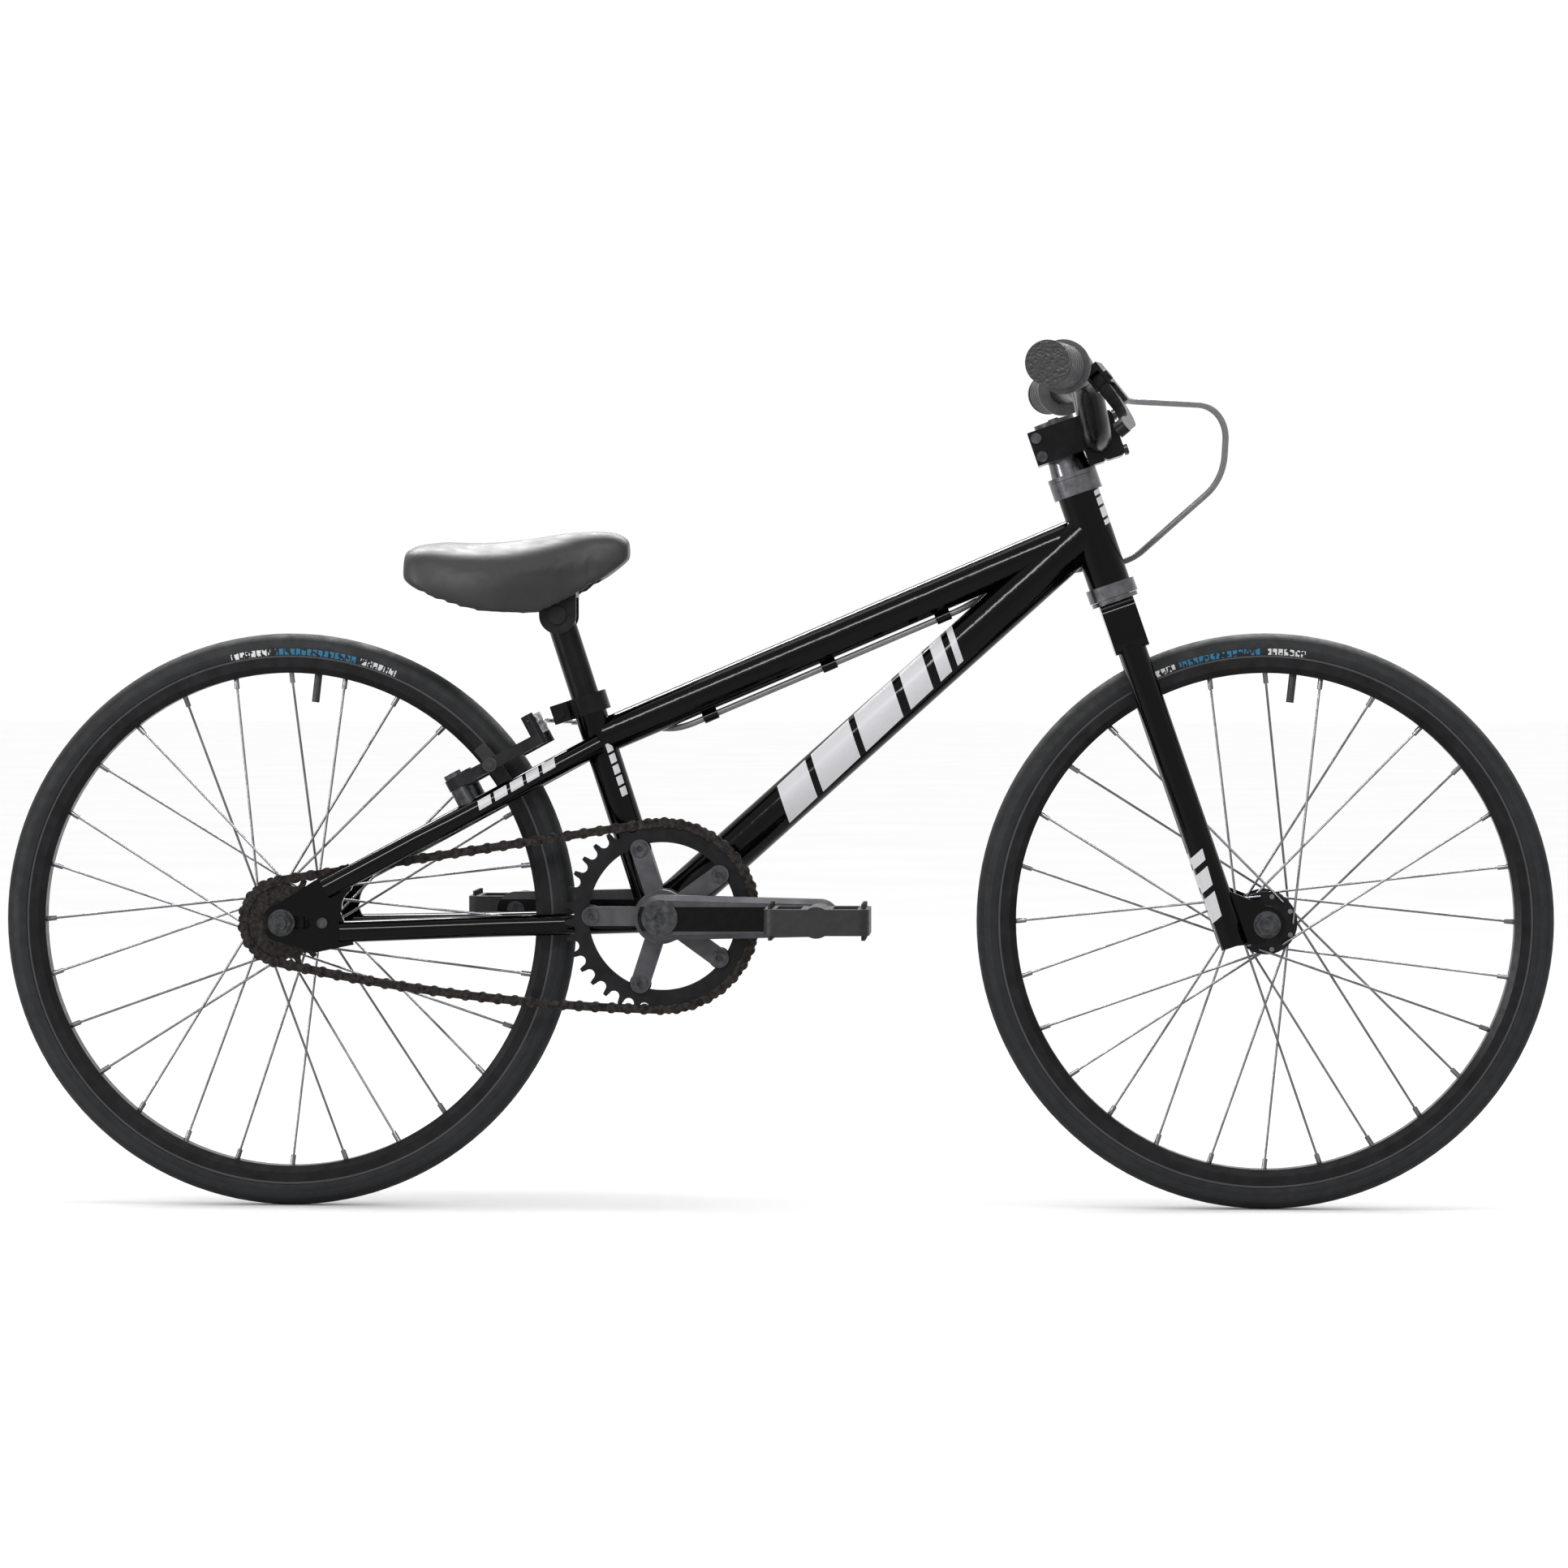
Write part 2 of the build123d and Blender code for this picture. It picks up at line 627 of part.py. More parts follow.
def build_chainring():
    """Toothed ring with five inner tabs, and its bolts."""
    centre = CRANK_AXIS
    outer_face = CHAIN_LINE + SPROCKET_THICKNESS / 2
    spots = PolarLocations(RING_BOLT_CIRCLE, RING_BOLT_COUNT, start_angle=180)
    tabs = [place * Circle(RING_TAB_RADIUS) for place in spots]
    holes = [place * Circle(RING_BOLT_RADIUS + FIT_GAP) for place in spots]
    outline = sprocket_outline(CHAINRING_TEETH, valley_angle(centre, 0)) - Circle(RING_INNER_RADIUS)
    outline = outline + tabs - holes
    plane = side_plane(centre, -outer_face + SPROCKET_THICKNESS)
    keep("chainring", slab(plane, outline, SPROCKET_THICKNESS))

    arm_plane = side_plane(centre, -outer_face)
    star = Circle(SPIDER_HUB_RADIUS)
    for step in range(RING_BOLT_COUNT):
        turn = Rot(0, 0, 180 + step * 360 / RING_BOLT_COUNT)
        bar = Pos(RING_BOLT_CIRCLE / 2, 0) * Rectangle(RING_BOLT_CIRCLE, SPIDER_ARM_WIDTH)
        star = star + turn * bar + turn * Pos(RING_BOLT_CIRCLE, 0) * Circle(SPIDER_ARM_WIDTH / 2)
    spider = slab(arm_plane, star - holes, SPIDER_THICKNESS)
    hub_end = CRANK_ARM_OUTER - CRANK_ARM_THICKNESS
    spider = spider + disc(centre, SPIDER_HUB_RADIUS, -hub_end, -outer_face - SPIDER_THICKNESS)
    spider = spider - disc(centre, SPINDLE_RADIUS + FIT_GAP, -hub_end - 1, 0)
    keep("chainring_spider", spider)

    bolts = []
    inner_face = -outer_face + SPROCKET_THICKNESS
    spider_face = -outer_face - SPIDER_THICKNESS
    for step in range(RING_BOLT_COUNT):
        angle = radians(180 + step * 360 / RING_BOLT_COUNT)
        hub = centre + Vector(cos(angle), 0, sin(angle)) * RING_BOLT_CIRCLE
        bolt = disc(hub, RING_BOLT_RADIUS, spider_face, inner_face)
        bolt = bolt + disc(hub, RING_BOLT_HEAD_RADIUS, spider_face - RING_BOLT_HEAD, spider_face)
        bolt = bolt + disc(hub, RING_BOLT_HEAD_RADIUS, inner_face, inner_face + RING_BOLT_HEAD)
        bolts.append(bolt - disc(hub, RING_BOLT_RADIUS - 1.6, spider_face - 3, spider_face + 1))
    return bolts


def build_cog():
    """Single freewheel: toothed outer ring on a threaded core."""
    centre = REAR_AXLE
    first = ceil(sum(chain_layout(CENTRES)[4][:2]))
    outline = sprocket_outline(COG_TEETH, valley_angle(centre, first))
    outline = outline - Circle(FREEWHEEL_CORE_RADIUS + RUNNING_GAP)
    face = -CHAIN_LINE + SPROCKET_THICKNESS / 2
    cog = slab(side_plane(centre, face), outline, SPROCKET_THICKNESS)
    body_end = face - SPROCKET_THICKNESS
    body = ring(
        centre,
        FREEWHEEL_BODY_RADIUS,
        FREEWHEEL_CORE_RADIUS + RUNNING_GAP,
        face,
        face + FREEWHEEL_WIDTH - 2 * SPROCKET_THICKNESS,
    )
    keep("freewheel_cog", cog + body)
    core_low = body_end - 1.0
    core_high = face + FREEWHEEL_WIDTH - SPROCKET_THICKNESS
    core = ring(centre, FREEWHEEL_CORE_RADIUS, HUB_NECK_RADIUS + FIT_GAP, core_low, core_high)
    keep("freewheel_core", core)


# ================================================================ cranks and pedals
def crank_arm_blank(direction, y_inner):
    """Tapered arm with bevelled edges, its outer face towards -Y."""
    plane = side_plane(CRANK_AXIS, -y_inner)
    taper = polygon(
        (0, CRANK_BOSS_RADIUS),
        (0, -CRANK_BOSS_RADIUS),
        (direction * CRANK_LENGTH, -CRANK_END_RADIUS),
        (direction * CRANK_LENGTH, CRANK_END_RADIUS),
    )
    outline = Circle(CRANK_BOSS_RADIUS) + taper
    outline = outline + Pos(direction * CRANK_LENGTH, 0) * Circle(CRANK_END_RADIUS)
    blank = slab(plane, outline, CRANK_ARM_THICKNESS)
    outer_face = blank.faces().sort_by(Axis.Y)[0]
    return chamfer(outer_face.edges(), CRANK_BEVEL)


def build_cranks(ring_bolts):
    """Spindle, both arms, their bolts and the two pedals."""
    inner = CRANK_ARM_OUTER - CRANK_ARM_THICKNESS
    end = CRANK_ARM_OUTER - CRANK_BEVEL
    spindle = disc(CRANK_AXIS, SPINDLE_RADIUS, -inner, inner)
    flat = Rectangle(2 * SPINDLE_TAPER_HALF, 2 * SPINDLE_TAPER_HALF)
    square = slab(side_plane(CRANK_AXIS, end), flat, 2 * end)
    keep("crank_spindle", spindle + square)

    socket_half = SPINDLE_TAPER_HALF + FIT_GAP
    socket = slab(
        side_plane(CRANK_AXIS, -inner + 1),
        Rectangle(2 * socket_half, 2 * socket_half),
        CRANK_ARM_THICKNESS + 2,
    )
    bolts = list(ring_bolts)
    axles = []
    for name, side, direction in (("right", -1, 1), ("left", 1, -1)):
        tip = CRANK_AXIS + Vector(direction * CRANK_LENGTH, 0, 0)
        arm = crank_arm_blank(direction, inner)
        arm = arm - socket - disc(tip, PEDAL_THREAD_RADIUS + FIT_GAP, -CRANK_ARM_OUTER - 1, -inner + 1)
        cap_seat = CRANK_ARM_OUTER - CRANK_BEVEL
        cap = disc(CRANK_AXIS, CRANK_BOLT_RADIUS, -CRANK_ARM_OUTER - CRANK_BOLT_THICKNESS, -cap_seat)
        arm = arm - disc(CRANK_AXIS, CRANK_BOLT_RADIUS + FIT_GAP, -CRANK_ARM_OUTER - 1, -cap_seat)
        cap = cap - disc(
            CRANK_AXIS,
            4.0,
            -CRANK_ARM_OUTER - CRANK_BOLT_THICKNESS - 1,
            -CRANK_ARM_OUTER,
        )
        pedal_end = PEDAL_INNER + PEDAL_WIDTH
        axle = disc(tip, PEDAL_THREAD_RADIUS, -PEDAL_INNER + SIDE_GAP, -inner)
        axle = axle + disc(tip, PEDAL_AXLE_RADIUS, -pedal_end + 8, -PEDAL_INNER + SIDE_GAP)
        pedal = build_pedal(tip)
        if side > 0:
            arm = mirrored(arm)
            cap = mirrored(cap)
            axle = mirrored(axle)
            pedal = mirrored(pedal)
        keep("crank_arm_" + name, arm)
        keep("pedal_" + name, pedal)
        bolts.append(cap)
        axles.append(axle)
    keep("crank_bolts", *bolts)
    keep("pedal_axles", *axles)


def build_pedal(tip):
    """Cage pedal: two rails, two end plates and a central barrel, with grip pins."""
    inner = -PEDAL_INNER
    outer = inner - PEDAL_WIDTH
    plane = Plane.XY.offset(tip.Z)
    middle = (inner + outer) / 2
    outline = Pos(tip.X, middle) * RectangleRounded(PEDAL_LENGTH, PEDAL_WIDTH, 8)
    window = (PEDAL_LENGTH - 2 * PEDAL_RAIL - 2 * PEDAL_BARREL_RADIUS) / 2
    shift = PEDAL_BARREL_RADIUS + window / 2
    for direction in SIDES:
        hole = Rectangle(window, PEDAL_WIDTH - 2 * PEDAL_RAIL)
        outline = outline - Pos(tip.X + direction * shift, middle) * hole
    cage = extrude(plane * outline, PEDAL_THICKNESS / 2, both=True)
    body = cage + disc(tip, PEDAL_BARREL_RADIUS, outer, inner)
    rail = PEDAL_LENGTH / 2 - PEDAL_RAIL / 2
    spots = [(x, y) for x in (-rail, rail) for y in (-24, -8, 8, 24)]
    tall = PEDAL_THICKNESS / 2 + PEDAL_PIN_HEIGHT
    for x, y in spots:
        low = Vector(tip.X + x, middle + y, tip.Z - tall)
        body = body + rod(low, low + Vector(0, 0, 2 * tall), PEDAL_PIN_RADIUS)
    return body - disc(tip, PEDAL_AXLE_RADIUS + RUNNING_GAP, outer + 6, inner + 1)


# ================================================================ wheels
def revolve_wheel(outline):
    """Turn a section drawn as (width, radius) about the wheel's axis, which is Y."""
    return revolve(Plane.YZ * outline, Axis.Y)


def build_rim(prefix, axle):
    """Channel rim with a hole for each nipple and one for the valve."""
    bed = RIM_INNER_RADIUS + RIM_BED
    slope = 5.0
    neck = RIM_HALF_WIDTH - 4.0
    rim = revolve_wheel(
        polygon(
            (-neck, RIM_INNER_RADIUS),
            (neck, RIM_INNER_RADIUS),
            (RIM_HALF_WIDTH, RIM_INNER_RADIUS + slope),
            (RIM_HALF_WIDTH, RIM_OUTER_RADIUS),
            (RIM_HALF_WIDTH - RIM_WALL, RIM_OUTER_RADIUS),
            (RIM_HALF_WIDTH - RIM_WALL, bed + slope - 2.0),
            (neck - 1.0, bed),
            (1.0 - neck, bed),
            (RIM_WALL - RIM_HALF_WIDTH, bed + slope - 2.0),
            (RIM_WALL - RIM_HALF_WIDTH, RIM_OUTER_RADIUS),
            (-RIM_HALF_WIDTH, RIM_OUTER_RADIUS),
            (-RIM_HALF_WIDTH, RIM_INNER_RADIUS + slope),
        )
    )
    holes = []
    for _, _, spot, _ in spoke_lines():
        spoke_angle = degrees(atan2(spot.Z, spot.X))
        outward = Vector(cos(radians(spoke_angle)), 0, sin(radians(spoke_angle)))
        foot = outward * (RIM_INNER_RADIUS - 2) + Vector(0, spot.Y, 0)
        holes.append(rod(foot, foot + outward * (RIM_BED + 4), NIPPLE_HOLE_RADIUS))
    turn = radians(VALVE_ANGLE)
    outward = Vector(cos(turn), 0, sin(turn))
    holes.append(rod(outward * (RIM_INNER_RADIUS - 2), outward * (bed + 2), VALVE_RADIUS + SIDE_GAP))
    keep(prefix + "_rim", Pos(axle.X, 0, axle.Z) * (rim - holes))


def build_tyre(prefix, axle):
    """Tyre: round crown on two beads that sit between the rim walls, and its inner tube."""
    centre = WHEEL_RADIUS - TYRE_HALF_WIDTH
    lip = RIM_OUTER_RADIUS + SIDE_GAP
    neck = RIM_HALF_WIDTH - RIM_WALL - SIDE_GAP
    foot = RIM_INNER_RADIUS + RIM_BED + 5.0
    crown = Pos(0, centre) * Circle(TYRE_HALF_WIDTH)
    crown = crown & polygon((-20, lip), (20, lip), (20, WHEEL_RADIUS + 5), (-20, WHEEL_RADIUS + 5))
    bead = polygon((-neck, foot), (neck, foot), (neck, lip + 1), (-neck, lip + 1))
    floor = lip + TYRE_WALL
    air = Pos(0, centre) * Circle(TYRE_HALF_WIDTH - TYRE_WALL)
    air = air & polygon((-20, floor), (20, floor), (20, WHEEL_RADIUS), (-20, WHEEL_RADIUS))
    inside = neck - TYRE_WALL
    throat = polygon((-inside, foot - 1), (inside, foot - 1), (inside, centre), (-inside, centre))
    tyre = revolve_wheel(crown + bead - air - throat)
    keep(prefix + "_tyre", Pos(axle.X, 0, axle.Z) * tyre)

    tube_radius = inside - SIDE_GAP
    tube_centre = foot + tube_radius
    tube = revolve_wheel(Pos(0, tube_centre) * Circle(tube_radius))
    turn = radians(VALVE_ANGLE)
    outward = Vector(cos(turn), 0, sin(turn))
    tip = RIM_INNER_RADIUS - VALVE_LENGTH
    valve = rod(outward * tip, outward * tube_centre, VALVE_RADIUS)
    keep(prefix + "_inner_tube", Pos(axle.X, 0, axle.Z) * (tube + valve))


VALVE_ANGLE = 360 / SPOKE_COUNT * 6.5


def spoke_lines():
    """Every spoke as (side, outboard, rim point, hub angle), about a wheel centred on the origin.

    Each flange has half the spokes. They leave it forwards and backwards by turns, and each
    one swings round by its number of crossings before it meets the rim.
    """
    per_flange = SPOKE_COUNT // 2
    swing = 2 * pi * SPOKE_CROSSES / per_flange
    lines = []
    for side in SIDES:
        start = 0.0 if side < 0 else pi / per_flange
        for index in range(per_flange):
            outboard = 1 if index % 2 == 0 else -1
            hub_angle = start + 2 * pi * index / per_flange
            rim_angle = hub_angle + outboard * swing
            rim_point = Vector(
                RIM_INNER_RADIUS * cos(rim_angle),
                side * SPOKE_RIM_OFFSET,
                RIM_INNER_RADIUS * sin(rim_angle),
            )
            lines.append((side, outboard, rim_point, hub_angle))
    return lines


def spoke_with_nipple(side, outboard, rim_point, hub_angle):
    """One bent spoke from its flange hole, and the nipple that holds it in the rim."""
    bow = SPOKE_OUTER_BOW if outboard > 0 else 0.0
    shift = HUB_FLANGE_THICKNESS / 2 + SPOKE_RADIUS + FIT_GAP + bow
    hole = Vector(HUB_HOLE_RADIUS * cos(hub_angle), 0, HUB_HOLE_RADIUS * sin(hub_angle))
    elbow = hole + Vector(0, side * (HUB_FLANGE_OFFSET + outboard * shift), 0)
    head_y = side * (HUB_FLANGE_OFFSET - outboard * (HUB_FLANGE_THICKNESS / 2 + FIT_GAP))
    head = hole + Vector(0, head_y, 0)
    cap = head - Vector(0, side * outboard * 1.4, 0)
    run = (rim_point - elbow).normalized()
    tip = rim_point - run * (NIPPLE_LENGTH - 6)
    spoke = rod(elbow, tip, SPOKE_RADIUS) + rod(elbow, cap, SPOKE_RADIUS)
    spoke = spoke + Pos(elbow.X, elbow.Y, elbow.Z) * Sphere(SPOKE_RADIUS) + rod(head, cap, 1.9)
    low = rim_point - run * (NIPPLE_LENGTH - 4)
    high = rim_point + run * 4
    nipple = rod(low, high, NIPPLE_RADIUS) - rod(low, tip + run * 0.5, SPOKE_RADIUS + FIT_GAP)
    return spoke, nipple


def build_spokes(prefix, axle):
    """Four patterns, one for each flange and lacing direction, turned round the hub."""
    lines = spoke_lines()
    step = 720 / (SPOKE_COUNT // 2)
    pieces = []
    for first in (0, 1, SPOKE_COUNT // 2, SPOKE_COUNT // 2 + 1):
        pair = spoke_with_nipple(*lines[first])
        for index in range(SPOKE_COUNT // 4):
            turn = Rot(0, -step * index, 0)
            pieces.extend(Pos(axle.X, 0, axle.Z) * turn * piece for piece in pair)
    keep(prefix + "_spokes", *pieces)


def build_hub(prefix, axle, half_width, neck_right):
    """Hub shell with two flanges, and the two cartridge bearings inside it."""
    end = half_width - 6.0
    flange_out = HUB_FLANGE_OFFSET + HUB_FLANGE_THICKNESS / 2
    shell = disc(axle, HUB_BARREL_RADIUS, -end, end)
    for side in SIDES:
        low, high = sorted((side * (HUB_FLANGE_OFFSET - HUB_FLANGE_THICKNESS / 2), side * flange_out))
        shell = shell + disc(axle, HUB_FLANGE_RADIUS, low, high)
    if neck_right:
        shell = shell + disc(axle, HUB_NECK_RADIUS, -end, -flange_out)
    shell = shell - disc(axle, AXLE_RADIUS + 2, -end - 1, end + 1)
    bearings = []
    for side in SIDES:
        low, high = sorted((side * (end - BEARING_WIDTH), side * end))
        shell = shell - disc(axle, BEARING_RADIUS + FIT_GAP, low - (side < 0), high + (side > 0))
        bearings.append(ring(axle, BEARING_RADIUS, AXLE_RADIUS + RUNNING_GAP, low, high))
    holes = []
    for side, _, _, hub_angle in spoke_lines():
        spot = axle + Vector(HUB_HOLE_RADIUS * cos(hub_angle), 0, HUB_HOLE_RADIUS * sin(hub_angle))
        low, high = sorted((side * (flange_out + 1), side * (flange_out - HUB_FLANGE_THICKNESS - 1)))
        holes.append(disc(spot, SPOKE_RADIUS + RUNNING_GAP, low, high))
    keep(prefix + "_hub", shell - holes, *bearings)


def build_axle(axle, half_width, plate):
    """Threaded axle with its two spacers, and the washers and nuts outside the dropouts."""
    nut_seat = half_width + plate + WASHER_THICKNESS
    end = nut_seat + NUT_THICKNESS + AXLE_OVERHANG
    shaft = disc(axle, AXLE_RADIUS, -end, end)
    spacers = []
    hardware = []
    for side in SIDES:
        low, high = sorted((side * (half_width - 6.0 + SIDE_GAP), side * half_width))
        spacers.append(ring(axle, AXLE_RADIUS + 4, AXLE_RADIUS + FIT_GAP, low, high))
        low, high = sorted((side * (half_width + plate), side * nut_seat))
        hardware.append(ring(axle, WASHER_RADIUS, AXLE_RADIUS + FIT_GAP, low, high))
        low, high = sorted((side * nut_seat, side * (nut_seat + NUT_THICKNESS)))
        hardware.append(hex_nut(axle, NUT_ACROSS_FLATS, AXLE_RADIUS + FIT_GAP, low, high))
    return [shaft, *spacers], hardware


def build_wheels():
    """Both wheels with their hubs and axles."""
    rear_half = REAR_HUB_WIDTH / 2
    front_half = FRONT_HUB_WIDTH / 2
    for prefix, axle, half, neck in (
        ("rear", REAR_AXLE, rear_half, True),
        ("front", FRONT_AXLE, front_half, False),
    ):
        build_rim(prefix, axle)
        build_tyre(prefix, axle)
        build_spokes(prefix, axle)
        build_hub(prefix, axle, half, neck)


# ================================================================ frame
def solid_round(frame, radius, low, high):
    """Round bar along a frame's Z."""
    return frame.location * Pos(0, 0, low) * Cylinder(radius, high - low, align=LOW)


def dropout_outline():
    """Plate outline about the axle: nose, slot, and the curved web between the stays."""
    nose = Circle(15)
    plate = polygon((-4, 14), (26, 33), (52, 46), (58, 34), (46, 8), (56, -17), (27, -23), (-2, -15))
    web = Pos(63, 12) * Circle(16)
    half = AXLE_RADIUS + AXLE_SLOT_GAP
    slot = Pos(-2, 0) * Rectangle(40, 2 * half) + Pos(18, 0) * Circle(half)
    bolt = Pos(TENSIONER_FORWARD, 0) * Circle(TENSIONER_RADIUS + FIT_GAP)
    return nose + plate - web - slot - bolt


def build_frame():
    """Welded tubes, each mitred against its neighbours so that they only touch."""
    head_top = HEAD_TUBE_LENGTH
    head_solid = solid_round(HEAD_FRAME, HEAD_TUBE_RADIUS, 0, head_top)
    head_bore = solid_round(HEAD_FRAME, HEAD_TUBE_BORE, -1, head_top + 1)
    keep("head_tube", head_solid - head_bore)

    shell_solid = disc(CRANK_AXIS, SHELL_RADIUS, -SHELL_HALF_LENGTH, SHELL_HALF_LENGTH)
    shell_bore = disc(CRANK_AXIS, SHELL_BORE, -SHELL_HALF_LENGTH - 1, SHELL_HALF_LENGTH + 1)
    keep("bottom_bracket_shell", shell_solid - shell_bore)

    seat_solid = solid_round(SEAT_FRAME, SEAT_TUBE_RADIUS, 0, SEAT_TUBE_LENGTH)
    seat_bore = solid_round(SEAT_FRAME, SEAT_POST_RADIUS + RUNNING_GAP, -1, SEAT_TUBE_LENGTH + 1)
    keep("seat_tube", seat_solid - seat_bore - shell_solid)

    down_foot = CRANK_AXIS + Vector(0, 0, DOWN_TUBE_DROP)
    down_solid = oval_bar(down_foot, HEAD_JOINT, DOWN_TUBE_HEIGHT, DOWN_TUBE_WIDTH)
    down = oval_tube(down_foot, HEAD_JOINT, DOWN_TUBE_HEIGHT, DOWN_TUBE_WIDTH, TUBE_WALL)
    keep("down_tube", largest(down - head_solid - shell_solid - seat_solid))

    top = oval_tube(SEAT_JOINT, HEAD_JOINT, TOP_TUBE_HEIGHT, TOP_TUBE_WIDTH, TUBE_WALL)
    keep("top_tube", largest(top - head_solid - seat_solid - down_solid))

    build_stays(shell_solid, seat_solid)
    build_cups()
    build_guides()


def largest(shape):
    """The main solid of a mitred tube, without the offcuts inside its neighbour."""
    return max(shape.solids(), key=lambda solid: solid.volume)


def build_stays(shell_solid, seat_solid):
    """Chainstays, seatstays, their bridge and brake bosses, and the slotted dropouts."""
    chain_rear = REAR_AXLE + Vector(DROPOUT_STAY_INSET + 34, 0, -CHAINSTAY_DROP)
    chain_front = CRANK_AXIS - Vector(0, 0, 5)
    rear_spread = DROPOUT_MIDDLE
    chainstays = []
    seatstays = []
    dropouts = []
    for side in SIDES:
        rear = Vector(chain_rear.X, side * rear_spread, chain_rear.Z)
        bend_x = REAR_X + CHAINSTAY_BEND
        share = (bend_x - rear.X) / (chain_front.X - rear.X)
        bend_z = rear.Z + share * (chain_front.Z - rear.Z)
        bend = Vector(bend_x, side * CHAINSTAY_BEND_SPREAD, bend_z)
        front = Vector(chain_front.X, side * CHAINSTAY_FRONT_SPREAD, chain_front.Z)
        path = FilletPolyline([rear, bend, front], radius=120)
        start = Plane(origin=rear, z_dir=bend - rear)
        bar = sweep(start * Circle(CHAINSTAY_RADIUS), path=path)
        core = sweep(start * Circle(CHAINSTAY_RADIUS - TUBE_WALL), path=path)
        chainstays.append(largest(bar - core - shell_solid - dropout_plate(side)))

        tube = seatstay_bar(side, SEATSTAY_RADIUS) - seatstay_bar(side, SEATSTAY_RADIUS - TUBE_WALL)
        seatstays.append(largest(tube - seat_solid - dropout_plate(side)))

        dropouts.append(dropout_plate(side))
    keep("chainstays", *chainstays)
    keep("seatstays", *seatstays)
    keep("dropouts", *dropouts)


def dropout_plate(side):
    """Dropout plate, which the stays on its side are slotted to take."""
    outer = DROPOUT_INNER + DROPOUT_THICKNESS
    y_low, y_high = sorted((side * DROPOUT_INNER, side * outer))
    return slab(side_plane(REAR_AXLE, y_high), dropout_outline(), y_high - y_low)


def build_cups():
    """Headset cups and bottom bracket cups, pressed or threaded into the frame."""
    top = HEAD_TUBE_LENGTH
    bearing_bore = STEERER_RADIUS + RUNNING_GAP
    skirt = HEAD_TUBE_BORE - FIT_GAP
    cups = []
    for low, high, skirt_low, skirt_high in (
        (-LOWER_CUP_HEIGHT, 0, 0, 8),
        (top, top + UPPER_CUP_HEIGHT, top - 8, top),
    ):
        cup = solid_round(HEAD_FRAME, HEADSET_CUP_RADIUS, low, high)
        cup = cup + solid_round(HEAD_FRAME, skirt, skirt_low, skirt_high)
        cups.append(cup - solid_round(HEAD_FRAME, bearing_bore, low - 10, high + 10))
    keep("headset_cups", *cups)

    cups = []
    for side in SIDES:
        face = side * SHELL_HALF_LENGTH
        low, high = sorted((face, face + side * SHELL_CUP_FLANGE))
        cup = disc(CRANK_AXIS, SHELL_RADIUS + 1.5, low, high)
        low, high = sorted((face - side * 14, face))
        cup = cup + disc(CRANK_AXIS, SHELL_BORE - FIT_GAP, low, high)
        cups.append(cup - disc(CRANK_AXIS, SPINDLE_RADIUS + RUNNING_GAP, -60, 60))
    keep("bottom_bracket_cups", *cups)


def build_guides():
    """Clips under the top tube that hold the brake cable."""
    run = (HEAD_JOINT - SEAT_JOINT).normalized()
    below = Vector(run.Z, 0, -run.X)
    drop = TOP_TUBE_HEIGHT / 2 + HOUSING_RADIUS + GUIDE_WALL
    guides = []
    for distance in GUIDE_PLACES:
        spot = SEAT_JOINT + run * distance + below * drop
        clip = pipe(
            spot - run * GUIDE_LENGTH / 2,
            spot + run * GUIDE_LENGTH / 2,
            HOUSING_RADIUS + GUIDE_WALL,
            HOUSING_RADIUS + FIT_GAP,
        )
        guides.append(clip)
    keep("cable_guides", *guides)


# ================================================================ axles
def build_axles():
    """Both axles, the nuts that hold them in the dropouts, and the chain tensioner bolts."""
    rear, rear_nuts = build_axle(REAR_AXLE, REAR_HUB_WIDTH / 2, DROPOUT_THICKNESS)
    for side in SIDES:
        rear_nuts.append(tensioner(side))
    keep("rear_axle", *rear)
    keep("rear_axle_nuts", *rear_nuts)
    front, front_nuts = build_axle(FRONT_AXLE, FRONT_HUB_WIDTH / 2, FORK_DROPOUT_THICKNESS)
    keep("front_axle", *front, *front_nuts)


def tensioner(side):
    """Bolt through the dropout ahead of the axle."""
    spot = REAR_AXLE + Vector(TENSIONER_FORWARD, 0, 0)
    outer = DROPOUT_INNER + DROPOUT_THICKNESS
    low, high = sorted((side * DROPOUT_INNER, side * outer))
    shank = disc(spot, TENSIONER_RADIUS, low, high)
    low, high = sorted((side * outer, side * (outer + TENSIONER_HEAD)))
    return shank + disc(spot, TENSIONER_HEAD_RADIUS, low, high)


# ================================================================ fork and headset
def steer_plane(y):
    """Side plane on the steering axis, with local X forward and local Y up the axis."""
    spot = HEAD_FRAME.origin
    return Plane(origin=(spot.X, y, spot.Z), x_dir=HEAD_FORWARD, z_dir=(0, -1, 0))


def leg_line(side, height):
    """Point on a fork leg's mid-line, at a height along the steering axis."""
    crown = -LOWER_STACK
    end = -HEAD_BASE - FORK_LEG_BELOW_AXLE
    share = (crown - height) / (crown - end)
    spread = FORK_LEG_SPREAD_TOP + (FORK_LEG_SPREAD_END - FORK_LEG_SPREAD_TOP) * share
    return HEAD_FRAME.from_local_coords(Vector(0, side * spread, height))


